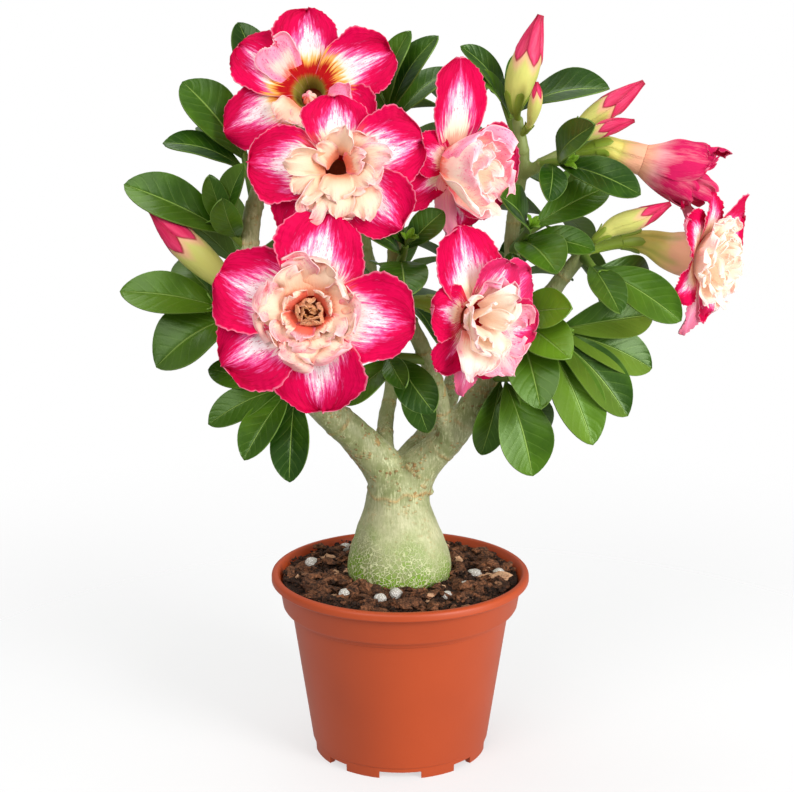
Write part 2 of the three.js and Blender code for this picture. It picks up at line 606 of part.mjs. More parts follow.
function addBlooms() {
  BLOOMS.forEach((bloom) => {
    const head = new THREE.Group();
    head.position.set(...bloom.centre);
    head.setRotationFromMatrix(bloomTurn(bloom.facing));
    head.add(finish(`${bloom.name}-petals`, geometryOf(petalsBody(bloom)), COLOURS.crimson, 0.5));
    if (bloom.ruffle) {
      head.add(finish(`${bloom.name}-ruffle`, geometryOf(ruffleBody(bloom.ruffle)), COLOURS.cream, 0.55));
    }
    plant.add(head);
    plant.add(finish(`${bloom.name}-neck`, geometryOf(neckBody(bloom, treeClearance)), COLOURS.neck, 0.45));
  });
}

function addBuds() {
  BUDS.forEach(({ name, line, size }) => {
    const radii = BUD.radii.map((radius, i) => (i < BUD.stalk ? radius : radius * size));
    const body = whole(limb(line, radii, BUD.sides, BUD.steps).subtract(treeClearance));
    plant.add(finish(name, geometryOf(body), COLOURS.bud, 0.4));
  });
}

addPotAndSoil();
plant.add(finish('trunk', geometryOf(plantBody(0)), COLOURS.bark, 0.7));
addShoots();
addBlooms();
addBuds();

// The origin is under the middle of the whole plant, on the surface that the pot stands on
const box = new THREE.Box3().setFromObject(plant, true);
const middle = box.getCenter(new THREE.Vector3());
plant.position.set(-middle.x, -middle.y, -box.min.z);

export default plant;
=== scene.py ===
"""Looks of a potted desert rose: pot, potting mix, swollen trunk, leafy shoots, blooms and buds.

Places are in millimetres from the pot's axis, with the pot's foot at height 0. The viewer's side of
the plant is -Y and +X is the viewer's right. Meshes are written in metres, in the row's frame.
"""

import logging
import math
from dataclasses import dataclass
from enum import Enum
from typing import Callable, Optional, Sequence, Union

import bpy
import numpy as np
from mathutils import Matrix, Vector, kdtree, noise


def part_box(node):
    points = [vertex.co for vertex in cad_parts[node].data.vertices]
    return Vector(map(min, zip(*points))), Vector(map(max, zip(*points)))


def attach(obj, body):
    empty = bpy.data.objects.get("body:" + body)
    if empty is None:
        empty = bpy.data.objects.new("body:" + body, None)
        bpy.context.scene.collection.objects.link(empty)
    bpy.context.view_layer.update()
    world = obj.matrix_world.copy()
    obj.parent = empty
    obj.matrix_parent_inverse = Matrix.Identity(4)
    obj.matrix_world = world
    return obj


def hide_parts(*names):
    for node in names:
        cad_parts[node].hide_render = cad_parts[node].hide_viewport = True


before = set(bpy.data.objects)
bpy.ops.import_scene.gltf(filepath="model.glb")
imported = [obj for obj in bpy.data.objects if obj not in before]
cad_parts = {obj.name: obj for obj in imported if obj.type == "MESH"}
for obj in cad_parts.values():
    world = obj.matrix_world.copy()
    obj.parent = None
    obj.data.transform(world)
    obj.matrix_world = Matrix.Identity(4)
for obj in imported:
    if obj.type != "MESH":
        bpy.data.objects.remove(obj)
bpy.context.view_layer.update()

LOG = logging.getLogger("desert_rose")
MM = 0.001
BODY = "root"

Piece = bpy.types.Object
Material = bpy.types.Material
Places = np.ndarray
Number = Union[float, np.ndarray]
Colour = tuple[float, float, float]
Spot = Sequence[float]

_low, _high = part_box("pot")
POT_AXIS = np.array([(_low.x + _high.x) / 2, (_low.y + _high.y) / 2, 0.0]) / MM
SEPALS = 5
SEPAL_THICKNESS = 0.4
PHASE = 6.28  # about a full turn, for the random starts of waves
MERGE = 0.00002  # how near points are before they become one, in metres
THROAT_SHARE = 0.3  # how long a petal's foot inside the throat is, as a share of the rest


def unit(vectors: Places) -> Places:
    """Scale a vector, or one in each row, to length 1."""
    return vectors / np.maximum(np.linalg.norm(vectors, axis=-1, keepdims=True), 1e-9)


def smooth(value: Places, low: float, high: float) -> Places:
    """Weigh numbers by a smooth rise from 0 at low to 1 at high."""
    share = np.clip((value - low) / (high - low), 0.0, 1.0)
    return share * share * (3.0 - 2.0 * share)


def square_to(direction: Places, towards: Spot, angle: float) -> Places:
    """Give a direction square to another, turned round it from a side that towards sets."""
    side = unit(np.cross(towards, direction))
    return side * math.cos(angle) + np.cross(direction, side) * math.sin(angle)


def outline(share: Places, base: float, slim: float, widest: float, tip: float) -> Places:
    """Give how wide a blade is along its length, as a share of its greatest width.

    Args:
        share: Place along the blade, 0 at its base and 1 at its tip.
        base: Width at the base.
        slim: How long the base stays slim.
        widest: Where the blade is widest.
        tip: Width of the blunt tip.

    Returns:
        Widths from 0 to 1.
    """
    inner = np.clip(share / widest, 0.0, 1.0)
    rising = base + (1.0 - base) * np.sin(inner * math.pi / 2) ** slim
    beyond = np.clip((share - widest) / (1.0 - widest), 0.0, 1.0)
    falling = tip + (1.0 - tip) * np.sqrt(np.maximum(1.0 - beyond**2.2, 0.0))
    return np.where(share < widest, rising, falling)


def deselect() -> None:
    """Deselect every object."""
    bpy.ops.object.select_all(action="DESELECT")


def choose(piece: Piece) -> None:
    """Select one piece and make it active.

    Args:
        piece: The piece that the next operators act on.
    """
    deselect()
    piece.select_set(True)
    bpy.context.view_layer.objects.active = piece


def apply_modifier(piece: Piece, kind: str, **settings: object) -> None:
    """Add a modifier with its settings and apply it.

    Args:
        piece: The mesh to change.
        kind: The modifier's type.
        **settings: The modifier's properties.
    """
    choose(piece)
    modifier = piece.modifiers.new(kind.title(), kind)
    for name, value in settings.items():
        setattr(modifier, name, value)
    bpy.ops.object.modifier_apply(modifier=modifier.name)


def placed(name: str, data: bpy.types.ID) -> Piece:
    """Put a mesh, camera or light in the scene.

    Args:
        name: The object's name.
        data: What it shows.

    Returns:
        The object.
    """
    piece = bpy.data.objects.new(name, data)
    bpy.context.collection.objects.link(piece)
    return piece


def read_rows(rows: bpy.types.bpy_prop_collection, key: str, width: int, kind: type = float) -> Places:
    """Read a property of all of a mesh's points, corners or faces.

    Args:
        rows: The points, corners or faces.
        key: The property.
        width: How many numbers each one has.
        kind: The type of the numbers.

    Returns:
        The numbers, a row each.
    """
    values = np.zeros(len(rows) * width, kind)
    rows.foreach_get(key, values)
    return values.reshape(-1, width)


def keep_mark(mesh: bpy.types.Mesh, name: str, values: Places) -> None:
    """Keep a named number for each point of a mesh, for its finish to read."""
    attribute = mesh.attributes.new(name, "FLOAT", "POINT")
    attribute.data.foreach_set("value", values.astype(np.float32))


def join(pieces: Sequence[Piece], name: str) -> Piece:
    """Join pieces into the first one.

    Args:
        pieces: The pieces, which end as one.
        name: The joined piece's name.

    Returns:
        The joined piece.
    """
    choose(pieces[0])
    for piece in pieces[1:]:
        piece.select_set(True)
    if len(pieces) > 1:
        bpy.ops.object.join()
    pieces[0].name = name
    return pieces[0]


def hand_over(piece: Piece, material: Material, slot: str, *nodes: str, crease: float = 50.0) -> None:
    """Shade a piece smooth, give it its finish and body, and hide the nodes that it stands for.

    Args:
        piece: The finished piece.
        material: Its material.
        slot: The record's material slot; not used.
        *nodes: The nodes that it replaces.
        crease: The angle in degrees past which an edge stays sharp.
    """
    choose(piece)
    bpy.ops.object.shade_smooth_by_angle(angle=math.radians(crease))
    piece.data.materials.clear()
    piece.data.materials.append(material)
    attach(piece, BODY)
    if nodes:
        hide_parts(*nodes)
    LOG.info("%s: %d faces", piece.name, len(piece.data.polygons))


class SeededDraws:
    """Random numbers from 0 to 1, the same for a seed on every run."""

    MASK = 0xFFFFFFFF

    def __init__(self, seed: int) -> None:
        """Start the draws from a whole number."""
        self.state = seed & self.MASK

    def __call__(self) -> float:
        """Return the next number."""
        self.state = (self.state + 0x6D2B79F5) & self.MASK
        mixed = ((self.state ^ (self.state >> 15)) * (1 | self.state)) & self.MASK
        more = ((mixed ^ (mixed >> 7)) * (61 | mixed)) & self.MASK
        mixed = ((mixed + more) & self.MASK) ^ mixed
        return ((mixed ^ (mixed >> 14)) & self.MASK) / 4294967296

    def between(self, low: float, high: float) -> float:
        """Draw a number between two others."""
        return low + (high - low) * self()


class StemCurve:
    """A centripetal Catmull-Rom curve through a few places."""

    DIVISIONS = 200

    def __init__(self, places: Sequence[Spot]) -> None:
        """Lay the curve and measure it.

        Args:
            places: The places that it passes through.
        """
        knots = np.array(places, float)
        before = 2 * knots[0] - knots[1]
        after = 2 * knots[-1] - knots[-2]
        self.knots = np.vstack([before, knots, after])
        self.spans = len(knots) - 1
        self.shares = np.linspace(0.0, 1.0, self.DIVISIONS + 1)
        steps = np.linalg.norm(np.diff(self.at(self.shares), axis=0), axis=1)
        self.lengths = np.concatenate([[0.0], np.cumsum(steps)])
        self.length = float(self.lengths[-1])

    def at(self, share: Number) -> Places:
        """Give places by the curve's own parameter.

        Args:
            share: Parameters from 0 to 1.

        Returns:
            One place a row, or one place for one number.
        """
        shares = np.atleast_1d(np.asarray(share, float))
        spans = np.clip(np.floor(shares * self.spans).astype(int), 0, self.spans - 1)
        inside = (shares * self.spans - spans)[:, None]
        p0, p1, p2, p3 = (self.knots[spans + i] for i in range(4))
        gap0, gap1, gap2 = (
            np.maximum(np.linalg.norm(b - a, axis=1, keepdims=True), 1e-8) ** 0.5
            for a, b in ((p0, p1), (p1, p2), (p2, p3))
        )
        leave = ((p1 - p0) / gap0 - (p2 - p0) / (gap0 + gap1) + (p2 - p1) / gap1) * gap1
        reach = ((p2 - p1) / gap1 - (p3 - p1) / (gap1 + gap2) + (p3 - p2) / gap2) * gap1
        square = -3 * p1 + 3 * p2 - 2 * leave - reach
        cube = 2 * p1 - 2 * p2 + leave + reach
        places = p1 + leave * inside + square * inside**2 + cube * inside**3
        return places if np.ndim(share) else places[0]

    def parameter(self, share: Number) -> Places:
        """Turn shares of the curve's length into its own parameter."""
        return np.interp(np.asarray(share) * self.length, self.lengths, self.shares)

    def heading(self, share: Number) -> Places:
        """Give the direction of the curve at its own parameter."""
        nudge = 1e-4
        low = np.clip(np.asarray(share) - nudge, 0.0, 1.0)
        high = np.clip(np.asarray(share) + nudge, 0.0, 1.0)
        return unit(self.at(high) - self.at(low))


class Limb:
    """A round stem along a curve, with a radius that changes along it."""

    SAMPLES = 96

    def __init__(self, places: Sequence[Spot], radii: Sequence[float]) -> None:
        """Lay the stem.

        Args:
            places: The places that its middle line passes through.
            radii: Radii at even steps of the curve's parameter.
        """
        self.curve = StemCurve(places)
        shares = self.curve.parameter(np.linspace(0.0, 1.0, self.SAMPLES))
        self.middles = self.curve.at(shares)
        self.headings = self.curve.heading(shares)
        plain = np.interp(shares * (len(radii) - 1), np.arange(len(radii)), radii)
        padded = np.concatenate([np.full(4, plain[0]), plain, np.full(4, plain[-1])])
        self.radii = np.convolve(padded, np.full(9, 1 / 9), "valid")
        self.sides = self._carried()

    def _carried(self) -> Places:
        """Carry one side direction along the curve without twist."""
        first = self.headings[0]
        start = np.eye(3)[int(np.argmin(np.abs(first)))]
        sides = [unit(start - first * start.dot(first))]
        for heading in self.headings[1:]:
            side = sides[-1] - heading * sides[-1].dot(heading)
            sides.append(unit(side))
        return np.array(sides)

    def skin(self, share: Places, angle: Places, swell: Places = 1.0, lift: Places = 0.0) -> Places:
        """Give places on the stem's skin.

        Args:
            share: Shares of the stem's length.
            angle: Turns round it, in radians.
            swell: Factors on its radius.
            lift: Heights over its skin.

        Returns:
            One place a row.
        """
        along = np.clip(share, 0.0, 1.0) * (self.SAMPLES - 1)
        below = np.clip(np.floor(along).astype(int), 0, self.SAMPLES - 2)
        part = (along - below)[:, None]

        def between(rows: Places) -> Places:
            """Blend two neighbouring rows."""
            return rows[below] * (1 - part) + rows[below + 1] * part

        middle, heading = between(self.middles), unit(between(self.headings))
        side = unit(between(self.sides))
        other = np.cross(heading, side)
        radius = between(self.radii[:, None]) * np.reshape(swell, (-1, 1)) + np.reshape(lift, (-1, 1))
        turn = np.asarray(angle)[:, None]
        return middle + radius * (np.cos(turn) * side + np.sin(turn) * other)

    def cover(self, ball: "Pattern", swell: Places = 1.0) -> Places:
        """Stretch a ball over the whole stem, with factors on its radius and poles that close its ends."""
        share, turn = ball.around()
        return self.skin(share, turn, np.where(ball.poles(), 0.0, swell))


@dataclass
class Pattern:
    """A mesh modelled once and kept as arrays, so that it can be copied and shaped."""

    points: np.ndarray
    corners: np.ndarray
    counts: np.ndarray
    uv: np.ndarray

    @classmethod
    def taken(cls) -> "Pattern":
        """Take the active object's mesh and remove the object.

        Returns:
            The mesh as a pattern.
        """
        piece = bpy.context.object
        mesh, layer = piece.data, piece.data.uv_layers.active
        points = read_rows(mesh.vertices, "co", 3)
        corners = read_rows(mesh.loops, "vertex_index", 1, int).ravel()
        counts = read_rows(mesh.polygons, "loop_total", 1, int).ravel()
        uv = read_rows(layer.data, "uv", 2) if layer else np.zeros((len(corners), 2))
        bpy.data.objects.remove(piece)
        return cls(points, corners, counts, uv)

    @classmethod
    def modelled(cls, operator: Callable, **sizes: float) -> "Pattern":
        """Model a primitive on its own.

        Args:
            operator: What adds the primitive.
            **sizes: Its sizes.

        Returns:
            The primitive as a pattern.
        """
        deselect()
        operator(**sizes)
        return cls.taken()

    @classmethod
    def grid(cls, rows: int, columns: int) -> "Pattern":
        """Model a flat grid from -0.5 to 0.5 both ways, with rows of faces along X."""
        add = bpy.ops.mesh.primitive_grid_add
        return cls.modelled(add, x_subdivisions=rows, y_subdivisions=columns, size=1.0)

    @classmethod
    def ball(cls, segments: int, rings: int) -> "Pattern":
        """Model a ball of radius 1, with segments round it and rings from pole to pole."""
        return cls.modelled(bpy.ops.mesh.primitive_uv_sphere_add, segments=segments, ring_count=rings)

    @classmethod
    def lump(cls, subdivisions: int, radius: float = 1.0) -> "Pattern":
        """Model a ball of even triangles, which are unsplit at 1 subdivision."""
        add = bpy.ops.mesh.primitive_ico_sphere_add
        return cls.modelled(add, subdivisions=subdivisions, radius=radius)

    def across(self) -> tuple[Places, Places]:
        """Read a grid's places as shares: 0 to 1 along it and -1 to 1 across it."""
        return self.points[:, 0] + 0.5, self.points[:, 1] * 2.0

    def around(self) -> tuple[Places, Places]:
        """Read a ball's places as a share from pole to pole and a turn in radians.

        Returns:
            Shares, with both polar rings at 0 and 1, and turns.
        """
        height = np.clip(self.points[:, 2], -1.0, 1.0)
        polar = 1.0 - np.arccos(height) / math.pi
        ring = np.min(np.where(polar > 1e-5, polar, 1.0))
        share = np.clip((polar - ring) / (1.0 - 2.0 * ring), 0.0, 1.0)
        return share, np.arctan2(self.points[:, 1], self.points[:, 0])

    def poles(self) -> Places:
        """Say which of a ball's places are its two poles."""
        return np.abs(self.points[:, 2]) > 1.0 - 1e-6


class Bundle:
    """Shaped copies of patterns, gathered in one mesh."""

    def __init__(self) -> None:
        """Start empty."""
        self.parts: list[tuple[Pattern, Places, dict[str, Places]]] = []

    def add(self, pattern: Pattern, places: Places, **marks: Number) -> None:
        """Add a copy at its own places, in millimetres, with numbers that the finish reads."""
        filled = {name: np.broadcast_to(mark, len(places)) for name, mark in marks.items()}
        self.parts.append((pattern, places, filled))

    def make(self, name: str) -> Piece:
        """Write the mesh.

        Args:
            name: The piece's name.

        Returns:
            The piece, with its place in its mesh.
        """
        starts = np.cumsum([0] + [len(places) for _, places, _ in self.parts])
        places = (np.vstack([places for _, places, _ in self.parts]) + POT_AXIS) * MM
        corners = np.concatenate([p.corners + s for (p, _, _), s in zip(self.parts, starts)])
        counts = np.concatenate([pattern.counts for pattern, _, _ in self.parts])
        mesh = bpy.data.meshes.new(name)
        mesh.vertices.add(len(places))
        mesh.vertices.foreach_set("co", places.ravel())
        mesh.loops.add(len(corners))
        mesh.loops.foreach_set("vertex_index", corners)
        mesh.polygons.add(len(counts))
        mesh.polygons.foreach_set("loop_start", np.concatenate([[0], np.cumsum(counts)[:-1]]))
        layer = mesh.uv_layers.new(name="UVMap")
        layer.data.foreach_set("uv", np.vstack([p.uv for p, _, _ in self.parts]).ravel())
        for mark in {name for _, _, marks in self.parts for name in marks}:
            values = [marks.get(mark, np.zeros(len(spots))) for _, spots, marks in self.parts]
            keep_mark(mesh, mark, np.concatenate(values))
        mesh.update(calc_edges=True)
        mesh.validate()
        return placed(name, mesh)


def thicken(piece: Piece, thickness: float) -> None:
    """Give a sheet its thickness, and mark its underside for the finish.

    Args:
        piece: The sheet.
        thickness: Its thickness in millimetres.
    """
    sheet_points = len(piece.data.vertices)
    apply_modifier(piece, "SOLIDIFY", thickness=thickness * MM, offset=0.0, use_rim=True)
    under = np.zeros(len(piece.data.vertices))
    under[sheet_points:] = 1.0
    keep_mark(piece.data, "under", under)


# Shader arithmetic


Value = Union["Wire", float]


class Wire:
    """A shader socket that Python's arithmetic works on."""

    def __init__(self, recipe: "Recipe", socket: bpy.types.NodeSocket) -> None:
        """Wrap an output socket of a material."""
        self.recipe = recipe
        self.socket = socket

    def _maths(self, operation: str, *values: Value) -> "Wire":
        """Add a Math node that works on some values in order."""
        return self.recipe.node("ShaderNodeMath", {"operation": operation}, dict(enumerate(values)))

    def __add__(self, other: Value) -> "Wire":
        """Add."""
        return self._maths("ADD", self, other)

    __radd__ = __add__

    def __sub__(self, other: Value) -> "Wire":
        """Subtract."""
        return self._maths("SUBTRACT", self, other)

    def __rsub__(self, other: Value) -> "Wire":
        """Subtract this from another."""
        return self._maths("SUBTRACT", other, self)

    def __mul__(self, other: Value) -> "Wire":
        """Multiply."""
        return self._maths("MULTIPLY", self, other)

    __rmul__ = __mul__

    def __abs__(self) -> "Wire":
        """Drop the sign."""
        return self._maths("ABSOLUTE", self)

    def least(self, other: Value) -> "Wire":
        """Take the smaller."""
        return self._maths("MINIMUM", self, other)

    def most(self, other: Value) -> "Wire":
        """Take the larger."""
        return self._maths("MAXIMUM", self, other)

    def sine(self) -> "Wire":
        """Take the sine."""
        return self._maths("SINE", self)

    def zigzag(self) -> "Wire":
        """Rise and fall from 0 to 1 once in every whole number."""
        return self._maths("PINGPONG", self, 0.5) * 2.0

    def step(self, low: float, high: float) -> "Wire":
        """Rise smoothly from 0 at low to 1 at high, or fall where high is the smaller.

        Args:
            low: Where it is 0.
            high: Where it is 1.

        Returns:
            A weight from 0 to 1.
        """
        if high < low:
            return 1.0 - self.step(high, low)
        settings = {"interpolation_type": "SMOOTHSTEP"}
        sockets = {0: self, 1: low, 2: high, 3: 0.0, 4: 1.0}
        return self.recipe.node("ShaderNodeMapRange", settings, sockets)


class Recipe:
    """A material and the ways to add nodes to it."""

    def __init__(self, name: str) -> None:
        """Start a material with a bare surface.

        Args:
            name: The material's name.
        """
        self.material = bpy.data.materials.new(name)
        self.material.use_nodes = True
        self.tree = self.material.node_tree
        self.shader = self.tree.nodes["Principled BSDF"]

    def node(self, kind: str, settings: dict, sockets: dict, output: Union[int, str] = 0) -> Wire:
        """Add a node.

        Args:
            kind: The node's type.
            settings: Its properties.
            sockets: Values or wires for its inputs, by index or name.
            output: The output that is wanted, by index or name.

        Returns:
            The wanted output.
        """
        made = self.tree.nodes.new(kind)
        for name, value in settings.items():
            setattr(made, name, value)
        for name, value in sockets.items():
            self.feed(made.inputs[name], value)
        return Wire(self, made.outputs[output])

    def feed(self, socket: bpy.types.NodeSocket, value: object) -> None:
        """Link a wire to an input, or set the input's value.

        Args:
            socket: The input.
            value: A wire, a number or a colour.
        """
        if isinstance(value, Wire):
            self.tree.links.new(value.socket, socket)
        elif isinstance(value, (int, float)):
            socket.default_value = value
        else:
            size = len(socket.default_value)
            socket.default_value = tuple(value) + (1.0,) * (size - len(value))

    def mix(self, share: Value, one: object, other: object) -> Wire:
        """Blend one colour with a share of another."""
        return self.node("ShaderNodeMix", {"data_type": "RGBA"}, {0: share, 6: one, 7: other}, 2)

    def coat(self, colour: object, *layers: tuple[Value, object]) -> Wire:
        """Lay colours over one another.

        Args:
            colour: The lowest colour.
            *layers: How much each further colour covers, and that colour.

        Returns:
            The colour that shows.
        """
        for share, other in layers:
            colour = self.mix(share, colour, other)
        return colour

    def place(self) -> Wire:
        """Give the place in the object's own frame."""
        return self.node("ShaderNodeTexCoord", {}, {}, "Object")

    def uv(self) -> tuple[Wire, Wire]:
        """Give the two coordinates of the piece's map."""
        layer = self.node("ShaderNodeUVMap", {"uv_map": "UVMap"}, {})
        made = self.node("ShaderNodeSeparateXYZ", {}, {0: layer}, "X")
        return made, Wire(self, made.socket.node.outputs["Y"])

    def mark(self, name: str) -> Wire:
        """Read a number kept on the mesh."""
        return self.node("ShaderNodeAttribute", {"attribute_name": name}, {}, "Fac")

    def marks(self, *names: str) -> list[Wire]:
        """Read several numbers kept on the mesh."""
        return [self.mark(name) for name in names]

    def scaled(self, place: Wire, factors: tuple[float, float, float]) -> Wire:
        """Stretch or shrink a place along each axis."""
        return self.node("ShaderNodeVectorMath", {"operation": "MULTIPLY"}, {0: place, 1: factors})

    def spot(self, x: object, y: object, z: object = 0.0) -> Wire:
        """Put three numbers together as a place."""
        return self.node("ShaderNodeCombineXYZ", {}, {0: x, 1: y, 2: z})

    def noise(self, place: Wire, scale: float, detail: float = 2.0, rough: float = 0.5) -> Wire:
        """Add soft noise from 0 to 1, with finer layers as detail asks, as strong as rough says."""
        sockets = {"Vector": place, "Scale": scale, "Detail": detail, "Roughness": rough}
        return self.node("ShaderNodeTexNoise", {}, sockets)

    def grain(self, x: Value, y: Value, z: Value, detail: float = 2.0, rough: float = 0.5) -> Wire:
        """Add soft noise at a place given by three numbers."""
        return self.noise(self.spot(x, y, z), 1.0, detail, rough)

    def cells(self, place: Wire, scale: float, feature: str) -> Wire:
        """Add a pattern of cells, and measure the named distance in it."""
        sockets = {"Vector": place, "Scale": scale}
        return self.node("ShaderNodeTexVoronoi", {"feature": feature}, sockets, "Distance")

    def finish(self, height: Optional[Wire] = None, depth: float = 0.0, **inputs: object) -> Material:
        """Feed the surface.

        Args:
            height: A relief, if there is one.
            depth: The relief's height in metres.
            **inputs: The surface's inputs, with _ for a space.

        Returns:
            The finished material.
        """
        for name, value in inputs.items():
            self.feed(self.shader.inputs[name.replace("_", " ")], value)
        if height is not None:
            bump = self.node("ShaderNodeBump", {}, {"Height": height, "Distance": depth, "Strength": 1.0})
            self.feed(self.shader.inputs["Normal"], bump)
        return self.material


# Finishes


@dataclass(frozen=True)
class PotFinish:
    """Satin terracotta plastic with a fine moulded grain and a little dust."""

    plain: Colour = (0.48, 0.066, 0.012)
    deep: Colour = (0.40, 0.053, 0.010)
    dusty: Colour = (0.50, 0.13, 0.06)

    def material(self) -> Material:
        """Make the material.

        Returns:
            The material.
        """
        recipe = Recipe("terracotta plastic")
        place = recipe.place()
        cloud = recipe.noise(place, 22.0, 2.0)
        dust = recipe.noise(place, 160.0, 4.0, 0.7).step(0.60, 0.80)
        cloudy, dusty = cloud.step(0.3, 0.75) * 0.5, dust * 0.12
        colour = recipe.coat(self.plain, (cloudy, self.deep), (dusty, self.dusty))
        rough = 0.43 + cloud * 0.05 + dust * 0.10
        grain = recipe.noise(place, 1400.0, 2.0)
        return recipe.finish(grain, 0.00003, Base_Color=colour, Roughness=rough, IOR=1.46,
                             Specular_IOR_Level=0.50)


@dataclass(frozen=True)
class SoilFinish:
    """Dark peat, with reddish-brown bark and pale wood where its chips are marked so."""

    peat: Colour = (0.014, 0.007, 0.004)
    umber: Colour = (0.115, 0.046, 0.022)
    bark: Colour = (0.42, 0.165, 0.070)
    wood: Colour = (0.72, 0.42, 0.24)

    def material(self) -> Material:
        """Make the material.

        Returns:
            The material.
        """
        recipe = Recipe("potting mix")
        place = recipe.place()
        tone = recipe.mark("tone")
        fine = recipe.noise(place, 1100.0, 5.0, 0.7)
        grain = recipe.noise(place, 330.0, 4.0, 0.65)
        barky = (tone.step(0.45, 0.85) * grain.step(0.30, 0.62)).least(1.0)
        colour = recipe.coat(
            self.peat,
            (fine.step(0.45, 0.68), self.umber),
            (barky * 0.9, recipe.mix(fine.step(0.38, 0.66), self.umber, self.bark)),
            (tone.step(0.93, 0.97) * grain.step(0.3, 0.5), self.wood),
        )
        return recipe.finish(fine, 0.0008, Base_Color=colour, Roughness=0.80 + grain * 0.15,
                             Specular_IOR_Level=0.3)


@dataclass(frozen=True)
class PerliteFinish:
    """White expanded grains with fine pits."""

    white: Colour = (0.86, 0.84, 0.79)
    shade: Colour = (0.50, 0.46, 0.40)

    def material(self) -> Material:
        """Make the material.

        Returns:
            The material.
        """
        recipe = Recipe("perlite")
        pits = recipe.cells(recipe.place(), 1500.0, "F1")
        colour = recipe.mix(pits.step(0.30, 0.62), self.white, self.shade)
        return recipe.finish(1.0 - pits, 0.0004, Base_Color=colour, Roughness=0.9)


@dataclass(frozen=True)
class BarkFinish:
    """Grey-green bark: a pale net over bright green low down, streaks above, tan scars on the branches."""

    silver: Colour = (0.61, 0.60, 0.35)
    green: Colour = (0.27, 0.31, 0.11)
    bright: Colour = (0.18, 0.34, 0.008)
    net: Colour = (0.70, 0.73, 0.40)
    tan: Colour = (0.62, 0.38, 0.13)
    brown: Colour = (0.32, 0.16, 0.05)
    young: Colour = (0.20, 0.27, 0.05)

    def material(self) -> Material:
        """Make the material.

        Returns:
            The material.
        """
        recipe = Recipe("bark")
        place = recipe.place()
        low, young, ring, limb = recipe.marks("low", "young", "ring", "limb")
        cloud = recipe.noise(place, 70.0, 4.0, 0.6)
        patch = recipe.noise(place, 230.0, 4.0, 0.65)
        streak = recipe.noise(recipe.scaled(place, (1.0, 1.0, 0.16)), 1100.0, 4.0, 0.7)
        wobble = recipe.noise(place, 240.0, 3.0)
        bent = recipe.node("ShaderNodeVectorMath", {"operation": "MULTIPLY_ADD"},
                           {0: recipe.spot(wobble, wobble * -0.7, wobble * 0.4), 1: (0.005,) * 3,
                            2: recipe.scaled(place, (1.0, 1.0, 0.75))})
        cracks = recipe.cells(bent, 600.0, "DISTANCE_TO_EDGE").step(0.12, 0.04) * patch.step(0.22, 0.42)
        dots = recipe.cells(recipe.scaled(place, (1.0, 1.0, 1.5)), 360.0, "F1").step(0.36, 0.18)
        picked = recipe.noise(place, 95.0, 2.0).step(0.43, 0.53)
        flakes = patch.step(0.565, 0.63) * recipe.noise(place, 60.0, 2.0).step(0.46, 0.56)
        scars = dots * picked * (limb * 0.5 + 0.25) + flakes * (limb * 0.85 + 0.15)
        scars = scars * (1.0 - low) * (1.0 - young * 0.8)
        rings = (ring * (patch * 1.9 - 0.25).most(0.0)).least(1.0)
        colour = recipe.coat(
            self.silver,
            ((cloud.step(0.38, 0.66) * 0.6 + limb * 0.34).least(1.0), self.green),
            (streak.step(0.42, 0.66) * (limb * 0.34 + 0.36) * (1.0 - low), self.green),
            (streak.step(0.56, 0.38) * patch.step(0.45, 0.6) * (limb * 0.45 + 0.35), self.net),
            (low, recipe.mix(cloud.step(0.60, 0.34), self.bright, self.green)),
            (cracks * (low * 1.25).least(1.0) * 0.92, self.net),
            (scars * 0.9, recipe.mix(cloud.step(0.4, 0.6), self.tan, self.brown)),
            (rings * 0.85, recipe.mix(streak.step(0.45, 0.6), self.tan, self.brown)),
            (young * 0.85, self.young),
        )
        relief = scars * 0.6 + cracks * low * 0.6 + streak * 0.35 + rings * 0.4
        return recipe.finish(relief, 0.0007, Base_Color=colour, Roughness=0.42 + cloud * 0.12,
                             Specular_IOR_Level=0.4)


